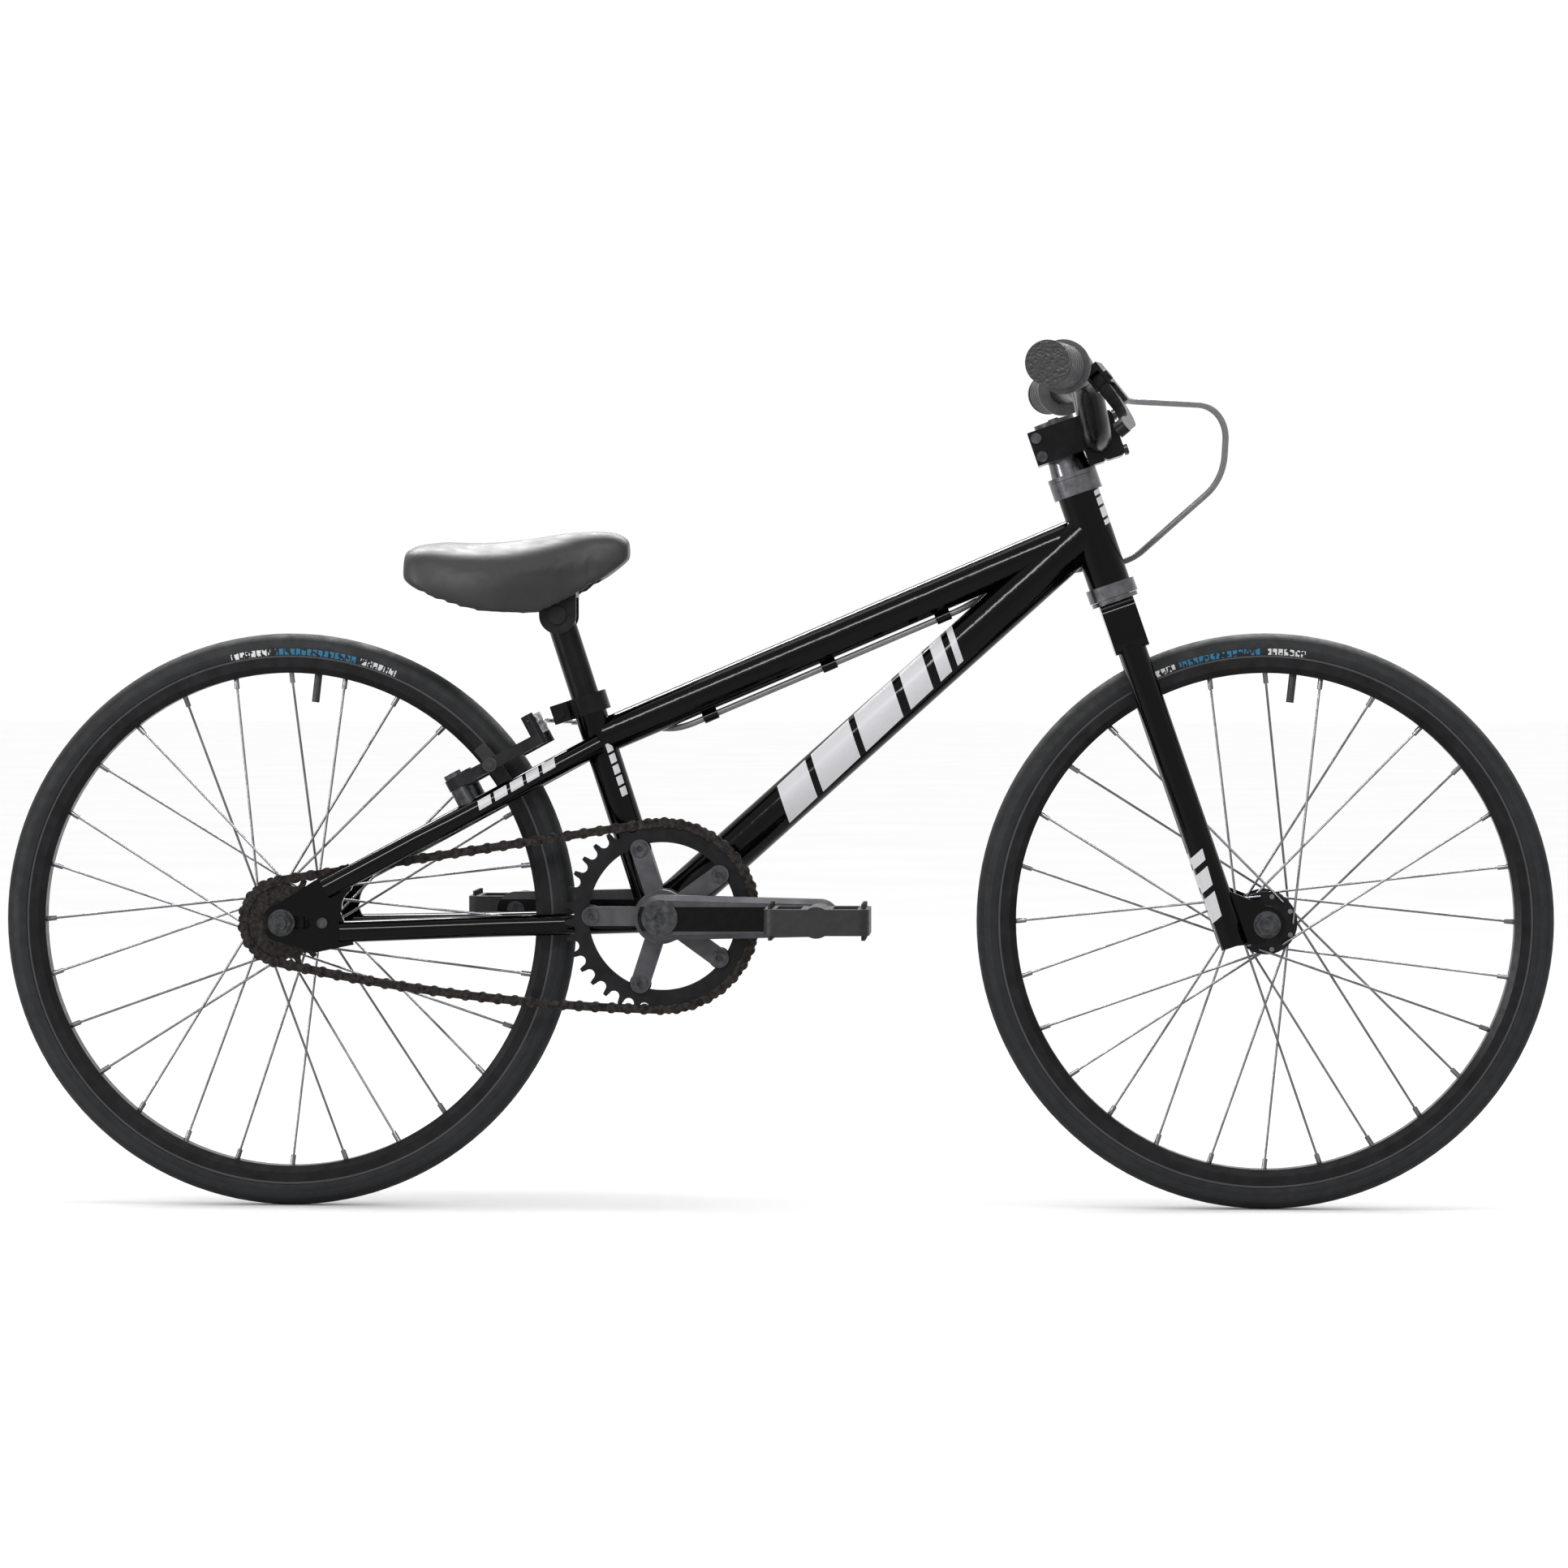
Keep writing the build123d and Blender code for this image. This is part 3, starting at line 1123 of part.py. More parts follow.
def fork_dropout(side):
    """Plate that carries the axle ahead of the leg, slotted from below."""
    outer = FRONT_HUB_WIDTH / 2 + FORK_DROPOUT_THICKNESS
    low, high = sorted((side * FRONT_HUB_WIDTH / 2, side * outer))
    axle = Pos(FORK_RAKE, -HEAD_BASE)
    web = polygon(
        (-FORK_LEG_RADIUS + 3, -HEAD_BASE + 34),
        (FORK_LEG_RADIUS - 1, -HEAD_BASE + 34),
        (FORK_RAKE + 6, -HEAD_BASE + 12),
        (FORK_RAKE, -HEAD_BASE - FORK_TIP_RADIUS),
        (-FORK_LEG_RADIUS + 3, -HEAD_BASE - FORK_LEG_BELOW_AXLE + 2),
    )
    slot_half = AXLE_RADIUS + AXLE_SLOT_GAP
    slot = axle * Circle(slot_half) + axle * Pos(0, -15) * Rectangle(2 * slot_half, 30)
    plate = web + axle * Circle(FORK_TIP_RADIUS) - slot
    return slab(steer_plane(high), plate, high - low)


def build_fork():
    """Steerer, crown and the two legs with their dropouts."""
    top = STEM_CENTRE + STEM_HEIGHT / 2 - STEERER_DROP
    bottom = -LOWER_STACK - CROWN_HEIGHT
    steerer = solid_round(HEAD_FRAME, STEERER_RADIUS, bottom, top)
    keep("fork_steerer", steerer - solid_round(HEAD_FRAME, STEERER_BORE, bottom - 1, top + 1))

    legs = []
    leg_bars = []
    for side in SIDES:
        upper = leg_line(side, -LOWER_STACK - 4)
        lower = leg_line(side, -HEAD_BASE - FORK_LEG_BELOW_AXLE)
        cap = leg_line(side, -HEAD_BASE - FORK_LEG_BELOW_AXLE + 3)
        bar = rod(upper, lower, FORK_LEG_RADIUS)
        plate = fork_dropout(side)
        core = rod(upper, cap, FORK_LEG_RADIUS - FORK_LEG_WALL)
        legs.extend([largest(bar - core - plate), plate])
        leg_bars.append(bar)
    keep("fork_legs", *legs)

    half = FORK_LEG_SPREAD_TOP + FORK_LEG_RADIUS + CROWN_EDGE
    height = -LOWER_STACK - CROWN_HEIGHT / 2
    crown = HEAD_FRAME.location * Pos(0, 0, height) * Box(CROWN_DEPTH, 2 * half, CROWN_HEIGHT)
    crown = fillet(crown.edges().filter_by(HEAD_FORWARD_AXIS), CROWN_CORNER)
    keep("fork_crown", largest(crown - leg_bars - steerer))


def build_headset():
    """Crown race, dust cover and the tapered spacer under the stem."""
    bore = STEERER_RADIUS + FIT_GAP
    race_top = -LOWER_CUP_HEIGHT - SIDE_GAP
    cup_top = HEAD_TUBE_LENGTH + UPPER_CUP_HEIGHT + SIDE_GAP
    stem_foot = STEM_CENTRE - STEM_HEIGHT / 2
    race = solid_round(HEAD_FRAME, HEADSET_CUP_RADIUS - 1, -LOWER_STACK, race_top)
    cover = solid_round(HEAD_FRAME, HEADSET_CUP_RADIUS, cup_top, cup_top + COVER_HEIGHT)
    taper_height = stem_foot - cup_top - COVER_HEIGHT
    taper = Cone(TAPER_FOOT_RADIUS, TAPER_TOP_RADIUS, taper_height, align=LOW)
    spacer = HEAD_FRAME.location * Pos(0, 0, cup_top + COVER_HEIGHT) * taper
    hole = solid_round(HEAD_FRAME, bore, -HEAD_BASE, 2 * HEAD_TUBE_LENGTH)
    keep("headset_cover", race - hole, cover - hole, spacer - hole)


# ================================================================ stem, bar, grips and lever
def build_stem():
    """Stem body, its faceplate and all its bolts."""
    foot = STEM_CENTRE - STEM_HEIGHT / 2
    top = STEM_CENTRE + STEM_HEIGHT / 2
    split = BAR_CLAMP_FORWARD + SIDE_GAP
    block = Pos((BAR_CLAMP_FORWARD - STEM_REAR) / 2, STEM_CENTRE) * Rectangle(
        BAR_CLAMP_FORWARD + STEM_REAR, STEM_HEIGHT
    )
    clamp_low = BAR_CLAMP_HEIGHT - CLAMP_HALF_HEIGHT
    jaw = Pos(BAR_CLAMP_FORWARD - 6, BAR_CLAMP_HEIGHT) * Rectangle(12, 2 * CLAMP_HALF_HEIGHT)
    bar_centre = Pos(BAR_CLAMP_FORWARD, BAR_CLAMP_HEIGHT)
    bar_hole = bar_centre * Circle(BAR_RADIUS + FIT_GAP)
    body = slab(steer_plane(STEM_HALF_WIDTH), block + jaw - bar_hole, 2 * STEM_HALF_WIDTH)
    body = body - solid_round(HEAD_FRAME, STEERER_RADIUS + FIT_GAP, clamp_low - 1, top + 1)
    body = body - solid_round(HEAD_FRAME, TAPER_FOOT_RADIUS + SIDE_GAP, clamp_low - 1, foot)
    slit = Pos(-STEM_REAR / 2 - 6, 0, STEM_CENTRE) * Box(STEM_REAR, STEM_SLIT, STEM_HEIGHT + 2)
    body = body - HEAD_FRAME.location * slit

    face = Pos(split + FACEPLATE_DEPTH / 2, BAR_CLAMP_HEIGHT) * RectangleRounded(
        FACEPLATE_DEPTH, 2 * CLAMP_HALF_HEIGHT, 4
    )
    face = face - Pos(split - 5, BAR_CLAMP_HEIGHT) * Rectangle(10, 4 * CLAMP_HALF_HEIGHT) - bar_hole
    plate = slab(steer_plane(STEM_HALF_WIDTH), face, 2 * STEM_HALF_WIDTH)

    bolts = []
    reach = split + FACEPLATE_DEPTH
    for across in SIDES:
        for up in SIDES:
            spot = Vector(reach, across * FACE_BOLT_SPREAD, BAR_CLAMP_HEIGHT + up * FACE_BOLT_RISE)
            shank = frame_rod(HEAD_FRAME, spot, Vector(-STEM_BOLT_LENGTH, 0, 0), STEM_BOLT_RADIUS)
            head = frame_rod(HEAD_FRAME, spot, Vector(STEM_BOLT_HEAD, 0, 0), STEM_BOLT_HEAD_RADIUS)
            bolts.append(shank + head)
    for up in SIDES:
        height = STEM_CENTRE + up * PINCH_BOLT_RISE
        start = Vector(-PINCH_BOLT_BACK, -STEM_HALF_WIDTH, height)
        shank = frame_rod(HEAD_FRAME, start, Vector(0, 2 * STEM_HALF_WIDTH - 4, 0), STEM_BOLT_RADIUS)
        head = frame_rod(HEAD_FRAME, start, Vector(0, -STEM_BOLT_HEAD, 0), STEM_BOLT_HEAD_RADIUS)
        bolts.append(shank + head)
    keep("stem_body", largest(body - bolts))
    keep("stem_faceplate", largest(plate - bolts))

    cap = solid_round(HEAD_FRAME, TOP_CAP_RADIUS, top, top + TOP_CAP_HEIGHT)
    cap = cap + solid_round(HEAD_FRAME, STEM_BOLT_RADIUS, top - TOP_BOLT_LENGTH, top)
    cap = cap + solid_round(
        HEAD_FRAME, STEM_BOLT_HEAD_RADIUS, top, top + TOP_CAP_HEIGHT + STEM_BOLT_HEAD / 2
    )
    nut = solid_round(HEAD_FRAME, STEERER_BORE, top - TOP_BOLT_LENGTH, top - TOP_BOLT_LENGTH + 8)
    nut = nut - solid_round(HEAD_FRAME, STEM_BOLT_RADIUS, foot - 20, top)
    keep("stem_bolts", *bolts, cap, nut)


def frame_rod(frame, start, run, radius):
    """Round bar given by a start point and a run in a frame's own coordinates."""
    low = frame.from_local_coords(start)
    high = frame.from_local_coords(start + run)
    return rod(low, high, radius)


def bar_point(side, across, back, up):
    """Point on the handlebar's mid-line, from the middle of the clamp."""
    return BAR_CENTRE + Vector(-back, side * across, up)


def bar_end(side):
    """Tip of the bar, and the direction from it back along the grip."""
    tip = bar_point(side, BAR_HALF_WIDTH, BAR_RISER_SETBACK + BAR_BACKSWEEP, BAR_RISE)
    bend = bar_point(side, BAR_RISER_TOP, BAR_RISER_SETBACK, BAR_RISE)
    return tip, (bend - tip).normalized()


def lever_frame():
    """Plane at the lever clamp: X is the way the lever reaches, Y runs inboard along the bar."""
    tip, inward = bar_end(-1)
    angle = radians(LEVER_ANGLE)
    reach = Vector(cos(angle), 0, -sin(angle))
    reach = (reach - inward * reach.dot(inward)).normalized()
    return Plane(origin=tip + inward * LEVER_CLAMP_INSET, x_dir=reach, z_dir=reach.cross(inward))


LEVER_FRAME = lever_frame()


def build_bar():
    """Low-rise handlebar in one bent tube, and a closed-end grip on each side."""
    points = []
    for side in SIDES:
        half = [
            bar_point(side, BAR_BEND_START, 0, 0),
            bar_point(side, BAR_RISER_TOP, BAR_RISER_SETBACK, BAR_RISE),
            bar_end(side)[0],
        ]
        points = list(reversed(half)) if side < 0 else points + half
    path = FilletPolyline(points, radius=BAR_BEND_RADIUS)
    start = Plane(origin=points[0], z_dir=points[1] - points[0])
    outer = sweep(start * Circle(BAR_RADIUS), path=path)
    keep("handlebar", outer - sweep(start * Circle(BAR_RADIUS - BAR_WALL), path=path))

    grips = []
    for side in SIDES:
        tip, inward = bar_end(side)
        cap_end = tip - inward * GRIP_CAP
        grip = rod(cap_end, tip + inward * GRIP_LENGTH, GRIP_RADIUS)
        flange = tip + inward * (GRIP_LENGTH - GRIP_FLANGE)
        grip = grip + rod(flange, flange + inward * GRIP_FLANGE, GRIP_FLANGE_RADIUS)
        rim_start = cap_end + inward * GRIP_FLANGE
        grip = grip + rod(cap_end, rim_start, GRIP_RADIUS + GRIP_END_LIP)
        for step in range(GRIP_RIBS):
            spot = tip + inward * (GRIP_RIB_START + step * GRIP_RIB_PITCH)
            grip = grip + rod(spot, spot + inward * GRIP_RIB_WIDTH, GRIP_RADIUS + GRIP_RIB_HEIGHT)
        grips.append(grip - rod(tip, tip + inward * (GRIP_LENGTH + 1), BAR_RADIUS + FIT_GAP))
    keep("grips", *grips)


def ribbon(points, half_width):
    """Curved strip of even width about a line of points."""
    edges = ([], [])
    for index, (x, y) in enumerate(points):
        before = points[max(index - 1, 0)]
        after = points[min(index + 1, len(points) - 1)]
        run = Vector(after[0] - before[0], after[1] - before[1]).normalized()
        edges[0].append((x - run.Y * half_width, y + run.X * half_width))
        edges[1].append((x + run.Y * half_width, y - run.X * half_width))
    outline = [
        Spline(*edges[0]),
        Line(edges[0][-1], edges[1][-1]),
        Spline(*edges[1]),
        Line(edges[1][0], edges[0][0]),
    ]
    return make_face(outline)


def build_lever():
    """Clamp and bracket with the cable adjuster, and the two-finger lever on its pin."""
    low = LEVER_OFFSET - LEVER_THICKNESS / 2
    high = LEVER_OFFSET + LEVER_THICKNESS / 2
    cheek_low = low - SIDE_GAP - LEVER_CHEEK
    cheek_high = high + SIDE_GAP + LEVER_CHEEK
    hub = LEVER_HUB_RADIUS
    wall = LEVER_PIVOT_REACH - hub - SIDE_GAP
    half = LEVER_CLAMP_WIDTH / 2
    block_start = hub + 1.5

    clamp_radius = BAR_RADIUS + LEVER_CLAMP_WALL
    clamp = frame_rod(LEVER_FRAME, Vector(0, -half, 0), Vector(0, 2 * half, 0), clamp_radius)
    back = frame_box(LEVER_FRAME, (wall - 6, wall), (-half, LEVER_BLOCK_END), (0, cheek_high))
    block_x = (wall - 6, LEVER_ANCHOR_REACH + 7)
    block = frame_box(LEVER_FRAME, block_x, (block_start, LEVER_BLOCK_END), (cheek_low, cheek_high))
    cheek_x = (wall - 1, LEVER_PIVOT_REACH + hub)
    cheeks = [
        frame_box(LEVER_FRAME, cheek_x, (-half, block_start + 1), span)
        for span in ((cheek_low, low - SIDE_GAP), (high + SIDE_GAP, cheek_high))
    ]
    adjuster_start = Vector(LEVER_ANCHOR_REACH, LEVER_BLOCK_END, LEVER_OFFSET)
    adjuster_run = Vector(0, ADJUSTER_LENGTH, 0)
    adjuster = frame_rod(LEVER_FRAME, adjuster_start, adjuster_run, ADJUSTER_RADIUS)
    socket = frame_rod(
        LEVER_FRAME,
        adjuster_start + Vector(0, ADJUSTER_LENGTH - ADJUSTER_SOCKET, 0),
        adjuster_run,
        HOUSING_RADIUS + RUNNING_GAP,
    )
    wire_hole = frame_rod(LEVER_FRAME, Vector(LEVER_ANCHOR_REACH, 0, LEVER_OFFSET), Vector(0, 60, 0), 1.2)
    pin_low = Vector(LEVER_PIVOT_REACH, 0, cheek_low)
    pin_hole = frame_rod(
        LEVER_FRAME, pin_low - Vector(0, 0, 1), Vector(0, 0, 40), LEVER_PIN_RADIUS + FIT_GAP
    )
    bar_bore = frame_rod(LEVER_FRAME, Vector(0, -40, 0), Vector(0, 100, 0), BAR_RADIUS + FIT_GAP)
    bracket = clamp + back + block + cheeks + adjuster - socket - wire_hole - pin_hole - bar_bore
    pin_height = cheek_high - cheek_low
    bolt = frame_rod(LEVER_FRAME, pin_low, Vector(0, 0, pin_height), LEVER_PIN_RADIUS)
    head_foot = Vector(LEVER_PIVOT_REACH, 0, cheek_high)
    bolt = bolt + frame_rod(LEVER_FRAME, head_foot, Vector(0, 0, 2), LEVER_PIN_RADIUS + 2)
    keep("lever_bracket", bracket, bolt)

    blade = ribbon(LEVER_LINE, LEVER_HALF_WIDTH)
    outline = blade + Pos(LEVER_PIVOT_REACH, 0) * Circle(hub)
    outline = outline + Pos(LEVER_ANCHOR_REACH, 0) * Circle(LEVER_HALF_WIDTH)
    outline = outline + Pos(*LEVER_LINE[-1]) * Circle(LEVER_HALF_WIDTH)
    outline = outline - Pos(LEVER_PIVOT_REACH, 0) * Circle(LEVER_PIN_RADIUS + RUNNING_GAP)
    outline = outline - Pos(LEVER_ANCHOR_REACH, 0) * Circle(2.6)
    lever = slab(LEVER_FRAME.offset(low), outline, LEVER_THICKNESS)
    keep("brake_lever", lever)


def frame_box(frame, xs, ys, zs):
    """Box between limits given in a frame's own coordinates."""
    centre = ((xs[0] + xs[1]) / 2, (ys[0] + ys[1]) / 2, (zs[0] + zs[1]) / 2)
    return frame.location * Pos(*centre) * Box(xs[1] - xs[0], ys[1] - ys[0], zs[1] - zs[0])


# ================================================================ rear brake
def seatstay_bar(side, radius):
    """Solid bar on a seatstay's line, from the dropout to the seat tube."""
    rear = Vector(STAY_REAR.X, side * SEATSTAY_REAR_SPREAD, STAY_REAR.Z)
    bend = STAY_REAR + STAY_RUN * SEATSTAY_BEND + Vector(0, side * SEATSTAY_BEND_SPREAD, 0)
    front = Vector(STAY_FRONT.X, side * SEATSTAY_FRONT_SPREAD, STAY_FRONT.Z)
    path = FilletPolyline([rear, bend, front], radius=SEATSTAY_BEND_RADIUS)
    return sweep(Plane(origin=rear, z_dir=bend - rear) * Circle(radius), path=path)


def build_bosses():
    """Pivot studs on the seatstays, each with its bolt head, and the bridge between the stays."""
    pieces = []
    stays = [seatstay_bar(side, SEATSTAY_RADIUS) for side in SIDES]
    head_foot = ARM_OFFSET + ARM_THICKNESS / 2 + SIDE_GAP
    boss_top = ARM_OFFSET - ARM_THICKNESS / 2 - SIDE_GAP
    for side in SIDES:
        foot = Vector(0, side * BOSS_SPREAD, 0)
        boss = frame_rod(BRAKE_FRAME, foot, Vector(0, 0, boss_top), BOSS_RADIUS)
        stud = frame_rod(BRAKE_FRAME, foot, Vector(0, 0, head_foot), PIVOT_STUD_RADIUS)
        head = frame_rod(
            BRAKE_FRAME, foot + Vector(0, 0, head_foot), Vector(0, 0, PIVOT_HEAD), PIVOT_HEAD_RADIUS
        )
        pieces.append(largest(boss + stud + head - stays))
    left = Vector(SEATSTAY_BRIDGE_SHIFT, -BOSS_SPREAD, 0)
    bridge = frame_rod(BRAKE_FRAME, left, Vector(0, 2 * BOSS_SPREAD, 0), SEATSTAY_BRIDGE_RADIUS)
    pieces.append(sorted((bridge - stays).solids(), key=lambda solid: abs(solid.center().Y))[0])
    keep("brake_bosses", *pieces)


def build_brake():
    """Both arms with their pads, the noodle on the left arm, and the wire across the top."""
    middle = Vector(ARM_LENGTH, 0, NOODLE_OFFSET)
    for name, side in (("right", -1), ("left", 1)):
        plane = BRAKE_FRAME.offset(ARM_OFFSET - ARM_THICKNESS / 2)
        pivot = side * BOSS_SPREAD
        top = side * ARM_TOP_SPREAD
        taper = polygon(
            (0, pivot - ARM_HUB_RADIUS),
            (ARM_LENGTH, top - ARM_WIDTH / 2),
            (ARM_LENGTH, top + ARM_WIDTH / 2),
            (0, pivot + ARM_HUB_RADIUS),
        )
        outline = taper + Pos(0, pivot) * Circle(ARM_HUB_RADIUS)
        outline = outline + Pos(ARM_LENGTH, top) * Circle(ARM_WIDTH / 2)
        outline = outline - Pos(0, pivot) * Circle(PIVOT_STUD_RADIUS + RUNNING_GAP)
        arm = slab(plane, outline, ARM_THICKNESS)
        post_foot = Vector(PAD_REACH, 0, ARM_OFFSET)
        across = Vector(0, side * (BOSS_SPREAD + ARM_HUB_RADIUS + 4), 0)
        arm = arm - frame_rod(BRAKE_FRAME, post_foot, across, PAD_POST_RADIUS + FIT_GAP)
        pieces = [arm]
        if side < 0:
            pieces.append(anchor_post(top))
        keep("brake_arm_" + name, *pieces)
        keep("brake_pad_" + name, *brake_pad(side))

    elbow = middle + Vector(0, NOODLE_SPREAD, 0)
    tip = middle + Vector(0, NOODLE_TIP, 0)
    points = [BRAKE_FRAME.from_local_coords(point) for point in (tip, elbow)]
    points.append(NOODLE_END)
    path = FilletPolyline(points, radius=NOODLE_BEND)
    start = Plane(origin=points[0], z_dir=points[1] - points[0])
    noodle = sweep(start * Circle(NOODLE_RADIUS), path=path)
    noodle = noodle - sweep(start * Circle(NOODLE_BORE), path=path)
    ferrule = pipe(
        NOODLE_END,
        NOODLE_END + NOODLE_RUN * FERRULE_LENGTH,
        HOUSING_RADIUS + FERRULE_WALL,
        HOUSING_RADIUS + RUNNING_GAP,
    )
    ends = (ARM_OFFSET + ARM_THICKNESS / 2, NOODLE_OFFSET + LINK_HALF)
    spread = (ARM_TOP_SPREAD - LINK_HALF, ARM_TOP_SPREAD + LINK_HALF)
    link = frame_box(BRAKE_FRAME, (ARM_LENGTH - LINK_HALF, ARM_LENGTH + LINK_HALF), spread, ends)
    link = link - frame_rod(BRAKE_FRAME, middle, Vector(0, 60, 0), NOODLE_RADIUS + FIT_GAP)
    keep("brake_noodle", noodle, ferrule, link)

    wire_start = middle + Vector(0, NOODLE_TIP + 8, 0)
    wire_run = Vector(0, -(NOODLE_TIP + 8 + ARM_TOP_SPREAD + WIRE_TAIL), 0)
    wire = frame_rod(BRAKE_FRAME, wire_start, wire_run, INNER_CABLE_RADIUS)
    boot_start = middle + Vector(0, NOODLE_TIP - SIDE_GAP, 0)
    boot = frame_rod(BRAKE_FRAME, boot_start, Vector(0, -BOOT_LENGTH, 0), BOOT_RADIUS)
    boot = boot - frame_rod(BRAKE_FRAME, wire_start, wire_run, INNER_CABLE_RADIUS + FIT_GAP)
    keep("brake_inner_cable", wire, boot)


def anchor_post(top):
    """Bolt on the right arm that pinches the end of the wire."""
    foot = Vector(ARM_LENGTH, top, ARM_OFFSET + ARM_THICKNESS / 2)
    height = NOODLE_OFFSET + LINK_HALF - foot.Z
    post = frame_rod(BRAKE_FRAME, foot, Vector(0, 0, height), LINK_HALF)
    wire = Vector(ARM_LENGTH, 0, NOODLE_OFFSET)
    return post - frame_rod(BRAKE_FRAME, wire, Vector(0, -80, 0), INNER_CABLE_RADIUS + RUNNING_GAP)


def brake_pad(side):
    """Curved pad, its backing holder, and the post with its washer and nut."""
    centre = BRAKE_FRAME.from_local_coords(Vector(PAD_REACH, 0, ARM_OFFSET)) - REAR_AXLE
    radius = centre.length
    turn = degrees(atan2(centre.Z, centre.X))
    wedge = polygon(
        (0, 0),
        (radius + 20, -(radius + 20) * tan(radians(PAD_HALF_ANGLE))),
        (radius + 20, (radius + 20) * tan(radians(PAD_HALF_ANGLE))),
    )
    sector = extrude(side_plane(REAR_AXLE, 0) * Rot(0, 0, turn) * wedge, 60, both=True)
    face = RIM_HALF_WIDTH + PAD_GAP
    back = face + PAD_THICKNESS
    plate = back + PAD_HOLDER_THICKNESS
    slices = []
    for edge, near, far in ((0.0, face, back), (1.0, back, plate)):
        low, high = sorted((side * near, side * far))
        inner = radius - PAD_HALF_HEIGHT - edge
        slices.append(ring(REAR_AXLE, radius + PAD_HALF_HEIGHT + edge, inner, low, high) & sector)
    arm_inner = ARM_TOP_SPREAD - 4
    arm_outer = BOSS_SPREAD + ARM_HUB_RADIUS
    foot = Vector(PAD_REACH, side * plate, ARM_OFFSET)
    post = frame_rod(BRAKE_FRAME, foot, Vector(0, side * (arm_outer + 3 - plate), 0), PAD_POST_RADIUS)
    collar_run = Vector(0, side * (arm_inner - 2 - plate), 0)
    collar = frame_rod(BRAKE_FRAME, foot, collar_run, PAD_COLLAR_RADIUS)
    nut_foot = Vector(PAD_REACH, side * (arm_outer - 2), ARM_OFFSET)
    nut = frame_rod(BRAKE_FRAME, nut_foot, Vector(0, side * 4, 0), PAD_COLLAR_RADIUS)
    nut = nut - frame_rod(BRAKE_FRAME, foot, Vector(0, side * 60, 0), PAD_POST_RADIUS + FIT_GAP)
    return [slices[0], slices[1] + post + collar, nut]


def build_housing():
    """Outer cable from the lever, past the head tube, under the top tube and on to the noodle."""
    mouth = Vector(LEVER_ANCHOR_REACH, LEVER_BLOCK_END + ADJUSTER_LENGTH - HOUSING_ENTRY, LEVER_OFFSET)
    start = LEVER_FRAME.from_local_coords(mouth)
    leave = LEVER_FRAME.from_local_coords(mouth + Vector(0, CABLE_LEAD, 0))
    run = (HEAD_JOINT - SEAT_JOINT).normalized()
    below = Vector(run.Z, 0, -run.X) * (TOP_TUBE_HEIGHT / 2 + HOUSING_RADIUS + GUIDE_WALL)
    points = [
        start,
        leave,
        HEAD_FRAME.from_local_coords(Vector(CABLE_LOOP_FORWARD, -48, CABLE_LOOP_HIGH)),
        HEAD_FRAME.from_local_coords(Vector(CABLE_LOOP_FORWARD - 21, -30, CABLE_LOOP_LOW)),
        HEAD_FRAME.from_local_coords(Vector(22, CABLE_HEAD_SIDE, 12)),
        SEAT_JOINT + run * 350 + Vector(0, CABLE_HEAD_SIDE, -12.5),
        SEAT_JOINT + below + run * (GUIDE_PLACES[2] + 16.0),
        SEAT_JOINT + below + run * (GUIDE_PLACES[0] - 26.0),
        Vector(REAR_X + 266, 34, 376),
        NOODLE_END + NOODLE_RUN * 20,
        NOODLE_END + NOODLE_RUN * FERRULE_ENTRY,
    ]
    path = FilletPolyline(points, radius=CABLE_BENDS)
    plane = Plane(origin=points[0], z_dir=points[1] - points[0])
    housing = sweep(plane * Circle(HOUSING_RADIUS), path=path)
    keep("brake_cable_housing", housing)
    round_area = pi * HOUSING_RADIUS**2
    print("housing length", round(path.length, 1), "bend radii", CABLE_BENDS)
    print("housing volume over section times length", housing.volume / (round_area * path.length))


